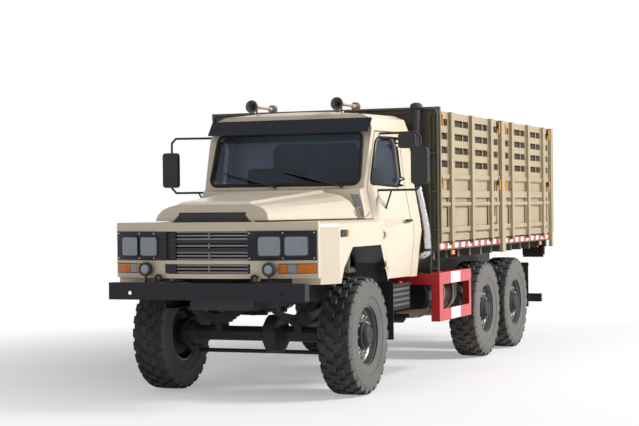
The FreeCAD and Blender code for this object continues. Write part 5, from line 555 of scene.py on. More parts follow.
def settle(piece: Piece, name: str) -> Piece:
    """Name a piece and put its place into its mesh.

    Args:
        piece: The object.
        name: Its name.

    Returns:
        The same object.
    """
    pick(piece)
    bpy.ops.object.transform_apply(location=True, rotation=True, scale=True)
    piece.name = name
    piece.data.name = name
    return piece


def edit(piece: Piece) -> None:
    """Open a piece in edit mode with all of it selected.

    Args:
        piece: The object.
    """
    pick(piece)
    bpy.ops.object.mode_set(mode="EDIT")
    bpy.ops.mesh.select_all(action="SELECT")


def change(piece: Piece, kind: str, **settings: object) -> None:
    """Change a piece's mesh by a modifier.

    Args:
        piece: The object.
        kind: Blender's name of the modifier type.
        settings: The modifier's values.
    """
    modifier = piece.modifiers.new(kind.lower(), kind)
    for name, value in settings.items():
        setattr(modifier, name, value)
    pick(piece)
    bpy.ops.object.modifier_apply(modifier=modifier.name)


def soften(piece: Piece, angle: float = SOFT_ANGLE) -> Piece:
    """Shade a piece smooth up to an angle.

    Args:
        piece: The object.
        angle: Largest angle that is smoothed, degrees.

    Returns:
        The same object.
    """
    pick(piece)
    bpy.ops.object.shade_smooth_by_angle(angle=math.radians(angle))
    return piece


def block(name: str, low: Triple, high: Triple, bevel: float = 0.003, steps: int = 2) -> Piece:
    """Box with rounded edges.

    Args:
        name: The piece's name.
        low: Lowest corner.
        high: Highest corner.
        bevel: Width of the edges' rounding.
        steps: Faces across the rounding.

    Returns:
        The new piece.
    """
    pick()
    bpy.ops.mesh.primitive_cube_add(size=1.0, location=[(a + b) / 2.0 for a, b in zip(low, high)])
    piece = bpy.context.object
    piece.scale = [abs(b - a) for a, b in zip(low, high)]
    settle(piece, name)
    if bevel > 0.0:
        edit(piece)
        bpy.ops.mesh.bevel(offset=bevel, segments=steps, affect="EDGES")
        bpy.ops.object.mode_set(mode="OBJECT")
    return soften(piece)


def outline_piece(points: Sequence[Triple], fill: str) -> Piece:
    """Ring of corners, open in edit mode.

    Args:
        points: The corners in order.
        fill: Blender's name for how the ring is filled.

    Returns:
        The new object.
    """
    pick()
    bpy.ops.mesh.primitive_circle_add(vertices=len(points), fill_type=fill)
    piece = bpy.context.object
    for corner, point in zip(piece.data.vertices, points):
        corner.co = point
    edit(piece)
    return piece


def close_up() -> None:
    """Turn every face outward and leave edit mode."""
    bpy.ops.mesh.select_all(action="SELECT")
    bpy.ops.mesh.normals_make_consistent(inside=False)
    bpy.ops.object.mode_set(mode="OBJECT")


def plate(name: str, points: Sequence[Triple], push: Triple, bevel: float = 0.0015, steps: int = 1) -> Piece:
    """Flat outline pushed out to a solid.

    Args:
        name: The piece's name.
        points: Corners of the outline in order.
        push: How far and where the outline is extruded.
        bevel: Width of the edges' rounding.
        steps: Faces across the rounding.

    Returns:
        The new piece.
    """
    piece = outline_piece(points, "NGON")
    bpy.ops.mesh.extrude_region_move(TRANSFORM_OT_translate={"value": push})
    close_up()
    settle(piece, name)
    if bevel > 0.0:
        change(piece, "BEVEL", width=bevel, segments=steps, limit_method="ANGLE", angle_limit=SHARP_ANGLE)
    return soften(piece)


def lathe(name: str, profile: Sequence[Pair], centre: Triple, axis: Axis, steps: int = 40) -> Piece:
    """Closed profile spun round an axis.

    Args:
        name: The piece's name.
        profile: Distance along the axis and radius of each corner.
        centre: Point on the axis that distances start from.
        axis: Direction of the axis.
        steps: Faces round the piece.

    Returns:
        The new piece.
    """
    along, out = Vector(axis.value), Vector((Axis.X if axis is Axis.Z else Axis.Z).value)
    corners = [Vector(centre) + along * spot + out * radius for spot, radius in profile]
    piece = outline_piece(corners, "NOTHING")
    bpy.ops.mesh.spin(steps=steps, angle=2.0 * math.pi, center=centre, axis=axis.value)
    bpy.ops.mesh.select_all(action="SELECT")
    bpy.ops.mesh.remove_doubles(threshold=MERGE_GAP)
    bpy.ops.mesh.dissolve_degenerate(threshold=MERGE_GAP)
    bpy.ops.mesh.delete_loose(use_verts=True, use_edges=True, use_faces=False)
    close_up()
    return soften(settle(piece, name))


def solid(*points: Pair) -> list[Pair]:
    """Profile closed to the axis at both ends."""
    return [(points[0][0], 0.0), *points, (points[-1][0], 0.0)]


def bent(points: Sequence[Triple], radius: float, steps: int = 5) -> list[Vector]:
    """Run of straight lines with round corners.

    Args:
        points: Corners of the run.
        radius: Radius at the corners.
        steps: Points round each corner.

    Returns:
        Points of the rounded run.
    """
    spots = [Vector(point) for point in points]
    run = [spots[0]]
    for before, here, after in zip(spots, spots[1:], spots[2:]):
        back, ahead = before - here, after - here
        reach = min(radius, back.length * 0.48, ahead.length * 0.48)
        start, end = here + back.normalized() * reach, here + ahead.normalized() * reach
        for share in (index / steps for index in range(steps + 1)):
            run.append(start * (1 - share) ** 2 + here * 2 * share * (1 - share) + end * share ** 2)
    return [*run, spots[-1]]


def tube(name: str, points: Sequence[Triple], radius: float, corner: float = 0.0, closed: bool = False,
         facets: int = 3) -> Piece:
    """Round bar along a run of points.

    Args:
        name: The piece's name.
        points: Corners of the bar's middle line.
        radius: Radius of the bar.
        corner: Radius of its bends.
        closed: Whether its ends meet.
        facets: Fineness round the bar.

    Returns:
        The new piece.
    """
    run = bent(points, corner) if corner > 0.0 else [Vector(point) for point in points]
    curve = bpy.data.curves.new(name, "CURVE")
    curve.dimensions = "3D"
    line = curve.splines.new("POLY")
    line.points.add(len(run) - 1)
    for spot, point in zip(line.points, run):
        spot.co = (*point, 1.0)
    line.use_cyclic_u = closed
    curve.bevel_depth, curve.bevel_resolution, curve.use_fill_caps = radius, facets, not closed
    piece = bpy.data.objects.new(name, curve)
    bpy.context.scene.collection.objects.link(piece)
    pick(piece)
    bpy.ops.object.convert(target="MESH")
    piece = bpy.context.object
    edit(piece)
    bpy.ops.mesh.remove_doubles(threshold=0.00002)
    close_up()
    return soften(settle(piece, name), 40.0)


def joined(name: str, pieces: Sequence[Piece]) -> Piece:
    """Pieces joined into one under a name.

    Args:
        name: Name of the whole.
        pieces: The pieces, in order.

    Returns:
        The joined piece.
    """
    pick(*pieces)
    if len(pieces) > 1:
        bpy.ops.object.join()
    return settle(bpy.context.object, name)


def copied(piece: Piece, name: str, move: Matrix) -> Piece:
    """Copy a piece with its own mesh.

    Args:
        piece: What is copied.
        name: The copy's name.
        move: Where the copy goes.

    Returns:
        The copy.
    """
    twin = bpy.data.objects.new(name, piece.data.copy())
    twin.data.name = name
    bpy.context.scene.collection.objects.link(twin)
    twin.data.transform(move)
    twin.data.update()
    return twin


def turned(centre: Triple, axis: Axis, degrees: float) -> Matrix:
    """Turn about an axis through a point."""
    middle = Matrix.Translation(Vector(centre))
    return middle @ Matrix.Rotation(math.radians(degrees), 4, Vector(axis.value)) @ middle.inverted()


def rounded(x0: float, x1: float, z0: float, z1: float, corner: float, steps: int = 5) -> list[Pair]:
    """Upright rectangle with round corners.

    Args:
        x0: Left edge.
        x1: Right edge.
        z0: Bottom.
        z1: Top.
        corner: Radius of the corners.
        steps: Lines round each corner.

    Returns:
        Its corners in order.
    """
    points = []
    for x, z, start in ((x1 - corner, z1 - corner, 0), (x0 + corner, z1 - corner, 90),
                        (x0 + corner, z0 + corner, 180), (x1 - corner, z0 + corner, 270)):
        for angle in (math.radians(start + 90.0 * index / steps) for index in range(steps + 1)):
            points.append((x + corner * math.cos(angle), z + corner * math.sin(angle)))
    return points


def stepped(piece: Piece, push: Triple, *insets: Pair) -> Piece:
    """Inset the far face of a pushed plate again and again.

    Args:
        piece: The plate.
        push: Direction the far face looks in.
        insets: Width and depth of each inset.

    Returns:
        The same piece.
    """
    pick(piece)
    along, mesh = Vector(push), piece.data
    for group in (mesh.polygons, mesh.edges, mesh.vertices):
        group.foreach_set("select", [False] * len(group))
    far = max(mesh.polygons, key=lambda face: face.normal.dot(along) * 10.0 + face.center.dot(along))
    far.select = True
    bpy.context.tool_settings.mesh_select_mode = (False, False, True)
    bpy.ops.object.mode_set(mode="EDIT")
    for width, depth in insets:
        bpy.ops.mesh.inset(thickness=width, depth=depth)
    bpy.ops.object.mode_set(mode="OBJECT")
    bpy.context.tool_settings.mesh_select_mode = (True, False, False)
    return soften(piece)


FRONT_HALF = 0.962
FRONT_FACETS = 4
FRONT_NOSE_Y = -1.165
FRONT_BOW = 0.205


def front_y(x: float, proud: float) -> float:
    """Depth of the faceted, bowed front at a distance from the middle, less what stands proud of it.

    Args:
        x: Distance from the middle.
        proud: How far in front of the panel.

    Returns:
        The distance behind the front axle.
    """
    step = FRONT_HALF / FRONT_FACETS
    low = min(int(abs(x) / step), FRONT_FACETS - 1)
    near, far = (FRONT_NOSE_Y + FRONT_BOW * ((low + end) / FRONT_FACETS) ** 2 for end in (0, 1))
    return near + (far - near) * (abs(x) / step - low) - proud


def bowed(name: str, x0: float, x1: float, z0: float, z1: float, front: float, back: float = 0.0003,
          bevel: float = 0.002) -> Piece:
    """Plate along the bowed front.

    Args:
        name: The piece's name.
        x0: Its end nearer the middle.
        x1: Its outer end.
        z0: Bottom.
        z1: Top.
        front: How far its face stands out of the panel.
        back: How far its back stands out.
        bevel: Rounding of its edges.

    Returns:
        The new piece.
    """
    bends = [FRONT_HALF / FRONT_FACETS * index for index in range(1, FRONT_FACETS)]
    spots = [x0, *(bend for bend in bends if x0 + 0.004 < bend < x1 - 0.004), x1]
    outline = [at(x, front_y(x, front), z0) for x in spots]
    outline += [at(x, front_y(x, back), z0) for x in spots[::-1]]
    return plate(name, outline, (0.0, 0.0, z1 - z0), bevel, 2)


def skin_x(node: str, y: float, z: float, proud: float = 0.0) -> float:
    """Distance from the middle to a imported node's outer face on the left.

    Args:
        node: The node's name.
        y: Distance behind the front axle.
        z: Height.
        proud: How far outside the face.

    Returns:
        The distance, or one metre where there is no face.
    """
    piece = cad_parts[node]
    back = piece.matrix_world.inverted()
    hit, spot, _, _ = piece.ray_cast(back @ Vector(at(1.6, y, z)), back.to_3x3() @ Vector((-1.0, 0.0, 0.0)))
    return (piece.matrix_world @ spot).x + proud if hit else 1.0


def put(piece: Piece, look: Look, side: Side = Side.LEFT, body: str = "truck",
        replaces: Sequence[str] = ()) -> None:
    """Mirror a left piece for the right, dress it, give it the body it rides on and report it.

    Args:
        piece: The finished piece.
        look: Its surface.
        side: Where it belongs.
        body: Body that carries it.
        replaces: Nodes that it stands for.
    """
    if side is Side.RIGHT:
        piece.data.transform(MIRROR)
        piece.data.flip_normals()
    paint(piece, look)
    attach(piece, body)
    if replaces:
        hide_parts(*replaces)
    LOG.info("%s: %d faces on %s", piece.name, len(piece.data.polygons), body)


@dataclass
class RoadWheels:
    """Tyres with chevron lugs, rims, nuts and black hubs on all six places."""

    centre: Triple = at(0.91, 0.0, 0.533)
    places: tuple[tuple[str, float], ...] = (("front", 0.0), ("middle", 3.87), ("rear", 5.12))
    lugs: int = 26
    nuts: int = 10
    nut_circle: float = 0.1675
    disc_x: float = 0.0765
    lug_slant: float = 0.42
    row_lean: float = 5.2

    def spun(self, name: str, profile: Sequence[Pair], steps: int, along: float = 0.0,
             out: float = 0.0) -> Piece:
        """Profile spun round the wheel's axis, or round a line moved along and out from it."""
        x, y, z = self.centre
        return lathe(name, profile, (x + along, y, z + out), Axis.X, steps)

    def ring(self, name: str, piece: Piece, count: int) -> Piece:
        """Copies of a piece all round the wheel, joined with it.

        Args:
            name: Name of the whole.
            piece: The object.
            count: How many there are.

        Returns:
            The joined ring.
        """
        rest = [copied(piece, name, turned(self.centre, Axis.X, 360.0 * index / count))
                for index in range(1, count)]
        return joined(name, [piece, *rest])

    def carcass(self) -> Piece:
        """Tyre body with beads, bulged sidewalls, ribs and the base of the tread.

        Returns:
            The tyre's body.
        """
        half = [(0.128, 0.2665), (0.136, 0.268), (0.141, 0.28), (0.146, 0.300), (0.1525, 0.345),
                (0.1535, 0.349), (0.1572, 0.352), (0.1585, 0.40), (0.157, 0.44), (0.1585, 0.444),
                (0.1565, 0.456), (0.153, 0.462), (0.147, 0.488), (0.134, 0.5045), (0.11, 0.5095),
                (0.05, 0.511)]
        return self.spun("tyre", [*half, *((-x, r) for x, r in half[::-1])], 72)

    def lug(self, sections: Sequence[Pair], width: float, turn: float, sign: float) -> Piece:
        """One tread block, its outline followed across the tread.

        Args:
            sections: Distance from the tyre's middle and height of each corner.
            width: Length of the block round the tyre.
            turn: Turn round the tyre, degrees.
            sign: Plus one on the outer half, minus one on the inner.

        Returns:
            The block.
        """
        x, y, z = self.centre
        middle = sum(across for across, _ in sections) / len(sections)
        outline = [(x + sign * across, y - width / 2.0 + self.lug_slant * (across - middle), z + height)
                   for across, height in sections]
        lug = plate("lug", outline, (0.0, width, 0.0), 0.004)
        lug.data.transform(turned(self.centre, Axis.X, turn))
        return lug

    def tread(self) -> Piece:
        """All tread blocks: an inner and an outer row on each half, set half a pitch apart.

        Returns:
            The whole tread.
        """
        inner = ((0.004, 0.500), (0.004, 0.5302), (0.070, 0.5300), (0.070, 0.500))
        outer = ((0.080, 0.498), (0.080, 0.5298), (0.128, 0.5265), (0.149, 0.512), (0.1555, 0.486),
                 (0.150, 0.470))
        pairs = [self.lug(*row, sign) for sign, start in ((1.0, 0.0), (-1.0, 180.0 / self.lugs))
                 for row in ((inner, 0.078, start), (outer, 0.074, start + self.row_lean))]
        return self.ring("tread", joined("tread", pairs), self.lugs)

    def rim(self) -> Piece:
        """Rim with its flanges, well and dished disc.

        Returns:
            The rim.
        """
        flange = [(0.114, 0.2655), (0.114, 0.288), (0.121, 0.2935), (0.128, 0.292)]
        disc = [(0.1285, 0.284), (0.121, 0.256), (0.105, 0.252), (0.07, 0.247), (0.061, 0.236),
                (0.061, 0.213), (0.068, 0.204), (0.0765, 0.192), (0.0765, 0.086), (0.044, 0.086),
                (0.044, 0.236), (0.03, 0.25), (-0.128, 0.252)]
        return self.spun("rim", [*((-x, r) for x, r in flange[::-1]), *flange, *disc], 64)

    def nut_ring(self) -> Piece:
        """Wheel nuts with washers and stud ends.

        Returns:
            The ring of nuts.
        """
        washer = solid((-0.001, 0.021), (0.003, 0.021), (0.0045, 0.019))
        hexagon = solid((0.004, 0.0155), (0.0195, 0.0155), (0.022, 0.0135))
        stud = solid((0.021, 0.0085), (0.029, 0.0085), (0.031, 0.007))
        whole = joined("nut", [self.spun("nut", profile, steps, self.disc_x, self.nut_circle)
                               for profile, steps in ((washer, 20), (hexagon, 6), (stud, 14))])
        whole.data.transform(turned(self.centre, Axis.X, 18.0))
        return self.ring("wheel_nuts", whole, self.nuts)

    def hub(self) -> Piece:
        """Black hub with its stepped nose and two rings of bolts.

        Returns:
            The hub.
        """
        profile = [(-0.04, 0.0455), (-0.04, 0.092), (0.0605, 0.092), (0.0765, 0.1235), (0.112, 0.1235),
                   (0.1165, 0.119), (0.1165, 0.095), (0.134, 0.092), (0.154, 0.08), (0.1585, 0.074),
                   (0.1585, 0.030), (0.1545, 0.027), (0.1545, 0.0), (0.1295, 0.0), (0.1288, 0.0455)]
        body = self.spun("hub", profile, 48)
        large = self.spun("hub", solid((0.115, 0.0075), (0.1215, 0.0075), (0.1235, 0.006)), 6, 0.0, 0.1075)
        bolts = self.ring("hub", large, 12)
        small = self.spun("hub", solid((0.157, 0.006), (0.1612, 0.006), (0.1622, 0.0045)), 6, 0.0, 0.056)
        return joined("hub", [body, bolts, self.ring("hub", small, 6)])

    def build(self) -> None:
        """Model one wheel and copy it to all six places."""
        tyre = joined("tyre", [self.carcass(), self.tread()])
        for part, model, look, node in (
                ("tyre", tyre, Finishes.TYRE, "tyre"), ("rim", self.rim(), Finishes.WHEEL, "wheel"),
                ("nuts", self.nut_ring(), Finishes.SILVER, "wheel"),
                ("hub", self.hub(), Finishes.TRIM, "wheel")):
            for where, y in self.places:
                for side in Side:
                    spot = f"{where}_{side.value}"
                    copy = copied(model, f"{part}_look_{spot}", Matrix.Translation((0.0, y, 0.0)))
                    put(copy, look, side, f"road_wheel_{spot}", (f"{node}_{spot}",))
            bpy.data.objects.remove(model, do_unlink=True)


@dataclass
class FrontLamps:
    """Lamp panels with head lamps, turn signals and fog lamps."""

    lamp_spots: tuple[float, ...] = (0.572, 0.792)
    lamp_z: float = 1.366
    corner: float = 0.026
    half_width: float = 0.1
    half_height: float = 0.088
    facet_slopes: Pair = (0.2664, 0.373)
    panel: Quad = (0.385, 0.952, 1.245, 1.496)
    louvre_end: float = 0.497
    signal: Quad = (0.64, 0.95, 1.133, 1.218)
    fog: Triple = at(0.585, -1.1375, 1.171)

    def put(self, piece: Piece, look: Look, side: Side) -> None:
        """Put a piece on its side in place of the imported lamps."""
        put(piece, look, side, replaces=("front_lamps",))

    def outline(self, x: float, shrink: float, proud: float) -> list[Triple]:
        """Round cornered outline of a head lamp on its facet of the front.

        Args:
            x: The lamp's middle.
            shrink: How far inside the lamp's edge.
            proud: How far outside the panel.

        Returns:
            The corners in order.
        """
        near, far = self.facet_slopes
        slope = near if x < FRONT_HALF * (FRONT_FACETS - 1) / FRONT_FACETS else far
        wide, tall = self.half_width - shrink, self.half_height - shrink
        shape = rounded(x - wide, x + wide, self.lamp_z - tall, self.lamp_z + tall,
                        self.corner - shrink / 2.0)
        return [at(px, front_y(x, proud) + slope * (px - x), z) for px, z in shape]

    def head_lamp(self, x: float, side: Side) -> None:
        """Housing, reflector bowl, bulb cap and ribbed lens of one lamp.

        Args:
            x: Distance from the middle.
            side: Side of the truck that it is for.
        """
        tag = f"{side.value}_{int(x * 1000)}"

        def shell(part: str, look: Look, shrink: float, proud: float, deep: float, *insets: Pair) -> None:
            """Plate of the lamp's outline, its face inset in steps."""
            piece = plate(f"head_lamp_{part}_{tag}", self.outline(x, shrink, proud), (0.0, -deep, 0.0), 0.0)
            self.put(stepped(piece, AHEAD, *insets), look, side)

        shell("rim", Finishes.TRIM, 0.0, 0.0, 0.02, (0.003, 0.0), (0.006, -0.002), (0.002, -0.014))
        shell("bowl", Finishes.SILVER, 0.012, 0.005, 0.011,
              (0.002, 0.0), (0.005, -0.004), (0.006, -0.003), (0.004, -0.001))
        profile = [(0.0, 0.0), (0.0, 0.02), (-0.004, 0.019), (-0.0075, 0.011), (-0.008, 0.0)]
        cap = lathe(f"head_lamp_cap_{tag}", profile, at(x, front_y(x, 0.007), self.lamp_z), Axis.Y, 24)
        self.put(cap, Finishes.SILVER, side)
        shell("lens", CLEAR_LENS, 0.0095, 0.0155, 0.0035, (0.003, 0.0008))

    def back_panel(self, side: Side) -> None:
        """Dark panel with its corner screws, and louvres beside the slats on the right.

        Args:
            side: Side of the truck that it is for.
        """
        x0, x1, z0, z1 = self.panel
        inner = x0 if side is Side.LEFT else self.louvre_end + 0.003
        self.put(bowed(f"lamp_panel_{side.value}", inner, x1, z0, z1, 0.01), Finishes.FASCIA, side)
        profile = [(0.003, 0.0), (0.003, 0.007), (-0.0015, 0.006), (-0.003, 0.0035), (-0.0032, 0.0)]
        screws = [lathe("screw", profile, at(x, front_y(x, 0.01), z), Axis.Y, 12)
                  for x in (inner + 0.018, x1 - 0.02, 0.682) for z in (z0 + 0.018, z1 - 0.018)]
        self.put(joined(f"lamp_panel_screws_{side.value}", screws), Finishes.SILVER, side)
        if side is Side.RIGHT:
            self.louvres(x0, self.louvre_end, z0, z1)

    def louvres(self, x0: float, x1: float, z0: float, z1: float) -> None:
        """Black strip with slanted dividers next to the slats.

        Args:
            x0: Inner end.
            x1: Outer end.
            z0: Bottom.
            z1: Top.
        """
        bars = [bowed("louvre_back", x0, x1, z0, z1, 0.004)]
        low, high = front_y(x0, 0.003), front_y(x1, 0.003)
        for z in (z0 + 0.012 + index * 0.034 for index in range(7)):
            outline = [at(x, y, z + up) for x, y, up in (
                (x0 + 0.004, low, 0.0), (x1 - 0.004, high, 0.012), (x1 - 0.004, high, 0.018),
                (x0 + 0.004, low, 0.006))]
            bars.append(plate("louvre", outline, (0.0, -0.009, 0.0), 0.001))
        self.put(joined("louvre_strip", bars), Finishes.TRIM, Side.RIGHT)

    def turn_signal(self, side: Side) -> None:
        """Black base with amber, clear and amber lenses.

        Args:
            side: Side of the truck that it is for.
        """
        x0, x1, z0, z1 = self.signal
        self.put(bowed(f"signal_base_{side.value}", x0, x1, z0, z1, 0.0055), Finishes.TRIM, side)
        for index, (low, high, glass) in enumerate((
                (x0 + 0.005, 0.712, AMBER_LENS), (0.716, 0.79, CLEAR_LENS),
                (0.794, x1 - 0.005, AMBER_LENS))):
            name = f"signal_lens_{side.value}_{index}"
            self.put(bowed(name, low, high, z0 + 0.006, z1 - 0.006, 0.01, 0.0057, 0.0015), glass, side)

    def fog_lamp(self, side: Side) -> None:
        """Black shell, bright bowl and clear lens of a round fog lamp.

        Args:
            side: Side of the truck that it is for.
        """
        shell = solid((-0.014, 0.037), (-0.026, 0.04), (-0.0295, 0.0415), (-0.03, 0.0435), (-0.0285, 0.056),
                      (-0.021, 0.0605), (0.012, 0.0608), (0.018, 0.052), (0.024, 0.034))
        bowl = [(-0.0145, 0.0), (-0.0155, 0.011), (-0.018, 0.025), (-0.0225, 0.035), (-0.022, 0.0365),
                (-0.0142, 0.035)]
        lens = [(-0.0292, 0.0), (-0.0288, 0.016), (-0.0272, 0.032), (-0.0255, 0.0388), (-0.0245, 0.0386),
                (-0.0262, 0.031), (-0.0275, 0.016), (-0.028, 0.0)]
        for part, profile, look in (("shell", shell, Finishes.TRIM), ("bowl", bowl, Finishes.SILVER),
                                    ("lens", lens, CLEAR_LENS)):
            self.put(lathe(f"fog_lamp_{part}_{side.value}", profile, self.fog, Axis.Y), look, side)

    def build(self) -> None:
        """Model both sides."""
        for side in Side:
            self.back_panel(side)
            for x in self.lamp_spots:
                self.head_lamp(x, side)
            self.turn_signal(side)
            self.fog_lamp(side)


@dataclass
class FrontTrim:
    """Grille backing, windscreen seal, wipers and fittings of the nose."""

    slat_y: float = -1.099
    screen_slope: float = 0.357
    screen_foot: Pair = (0.552, 1.868)
    seal_half: Pair = (0.768, 0.745)
    seal_z: Pair = (1.905, 2.395)
    blade_half: float = 0.2
    blade_share: float = 0.72
    wipers: tuple[tuple[str, Pair, Pair], ...] = (
        ("wiper_right", (-0.08, 1.888), (-0.60, 2.02)), ("wiper_left", (0.60, 1.886), (0.02, 2.03)))

    def screen_y(self, z: float, proud: float) -> float:
        """Depth of the windscreen plane at a height."""
        return self.screen_foot[0] + self.screen_slope * (z - self.screen_foot[1]) - proud

    def grille_back(self) -> None:
        """Black sheet behind the slats."""
        y = self.slat_y + 0.0395
        sheet = block("grille_back", at(-0.37, y, 1.132), at(0.37, y + 0.006, 1.494), 0.001)
        put(stepped(sheet, AHEAD, (0.01, 0.0), (0.002, -0.002)), Finishes.TRIM)

    def side_louvres(self) -> None:
        """Black returns beside the slats, and the dark bands in front of them."""
        y = self.slat_y - 0.0005
        bars = [block("return", at(x0, y - 0.012, z0), at(x1, y, z1), 0.002)
                for x0, x1 in ((-0.402, -0.305), (0.372, 0.402))
                for z0, z1 in ((1.236, 1.497), (1.13, 1.218))]
        for z in (1.285 + index * 0.052 for index in range(4)):
            outline = [at(x, y - 0.011, z + up) for x, up in
                       ((-0.402, 0.0), (-0.305, 0.01), (-0.305, 0.018), (-0.402, 0.008))]
            bars.append(plate("return", outline, (0.0, -0.014, 0.0), 0.001))
        bars += [block("return", at(-0.306, y - 0.005, z), at(0.373, y, z + 0.03), 0.001)
                 for z in (1.392, 1.318)]
        put(joined("grille_return", bars), Finishes.TRIM)

    def scoop(self) -> None:
        """Black plate in the mouth under the bonnet's raised front edge: painted shade of the opening."""
        rows = ((0.37, -1.0305, 1.573), (0.335, -1.0305, 1.615), (0.3, -1.018, 1.648))
        (a, ya, za), (b, yb, zb), (c, yc, zc) = rows
        outlines = ([at(-a, ya, za), at(a, ya, za), at(b, yb, zb), at(-b, yb, zb)],
                    [at(-b, yb, zb), at(b, yb, zb), at(c, yc, zc), at(-c, yc, zc)])
        # Painted shade: thin black plates over the opening.
        plates = [plate("scoop", outline, (0.0, -0.002, 0.0), 0.0) for outline in outlines]
        put(joined("bonnet_scoop", plates), Finishes.TRIM, body="engine_lid")

    def seal(self) -> None:
        """Rubber seal round the windscreen."""
        (foot, head), (z0, z1) = self.seal_half, self.seal_z
        points = []
        for x, z in rounded(-1.0, 1.0, z0, z1, 0.07, 6):
            half = foot + (head - foot) * ((z - z0) / (z1 - z0))
            points.append(at(math.copysign(half - (1.0 - abs(x)), x), self.screen_y(z, 0.003), z))
        put(tube("screen_seal", points, 0.018, closed=True), Finishes.RUBBER)

    def wiper(self, name: str, foot: Pair, tip: Pair) -> None:
        """Arm, blade and pivot of one wiper.

        Args:
            name: The wiper's name.
            foot: Across and height of its pivot.
            tip: Where the arm points to.
        """
        (x0, z0), (x1, z1) = foot, tip
        lean = Vector((x1 - x0, 0.0, z1 - z0)).normalized() * self.blade_half
        middle = self.blade_share

        def spot(share: float, proud: float, along: float = 0.0) -> Triple:
            """Point off the glass at a share of the arm, moved along the blade."""
            x, z = x0 + (x1 - x0) * share + along * lean.x, z0 + (z1 - z0) * share + along * lean.z
            return at(x, self.screen_y(z, proud), z)

        arm = tube(name, [spot(0.0, 0.028), spot(0.3, 0.034), spot(middle, 0.026)], 0.0075, 0.05)
        blade = tube(name, [spot(middle, 0.019, -1.0), spot(middle, 0.024), spot(middle, 0.019, 1.0)],
                     0.009, 0.04)
        profile = [(0.03, 0.0), (0.03, 0.013), (-0.026, 0.013), (-0.031, 0.009), (-0.033, 0.0)]
        put(joined(name, [arm, blade, lathe(name, profile, spot(0.0, 0.004), Axis.Y, 20)]), Finishes.TRIM)

    def build(self) -> None:
        """Model every piece of the nose and screen."""
        self.grille_back()
        self.side_louvres()
        self.scoop()
        self.seal()
        for wiper in self.wipers:
            self.wiper(*wiper)


@dataclass
class Doors:
    """Window seals, mirror glass and handle grips that ride on the doors."""

    window: Outline = (
        (0.718, 1.883), (1.150, 1.883), (1.217, 1.950), (1.217, 2.285), (1.150, 2.352), (0.880, 2.352),
        (0.806, 2.318), (0.681, 1.926))
    glass: Quad = (1.2255, 1.3745, 1.905, 2.235)
    glass_y: float = 0.8039
    handle: Outline = ((1.062, 1.08), (1.0635, 1.15), (1.062, 1.22))
    handle_z: float = 1.553

    def build(self) -> None:
        """Model both doors' fittings."""
        for side in Side:
            body = f"cab_door_{side.value}"
            run = bent([(0.0, y, z) for y, z in (*self.window, *self.window[:2])], 0.06, 4)[1:-6]
            points = [at(skin_x("door_left", p.y, p.z, 0.0015), p.y, p.z) for p in run]
            put(tube(f"window_seal_{side.value}", points, 0.010, closed=True), Finishes.RUBBER, side, body)
            pane = plate(f"mirror_glass_{side.value}",
                         [at(x, self.glass_y, z) for x, z in rounded(*self.glass, 0.024)],
                         (0.0, 0.003, 0.0), 0.0)
            put(stepped(pane, BEHIND, (0.004, 0.0), (0.001, -0.0012)), Finishes.SILVER, side, body)
            grip = tube(f"handle_grip_{side.value}", [at(x, y, self.handle_z) for x, y in self.handle],
                        0.0135, 0.02)
            put(grip, Finishes.TRIM, side, body)


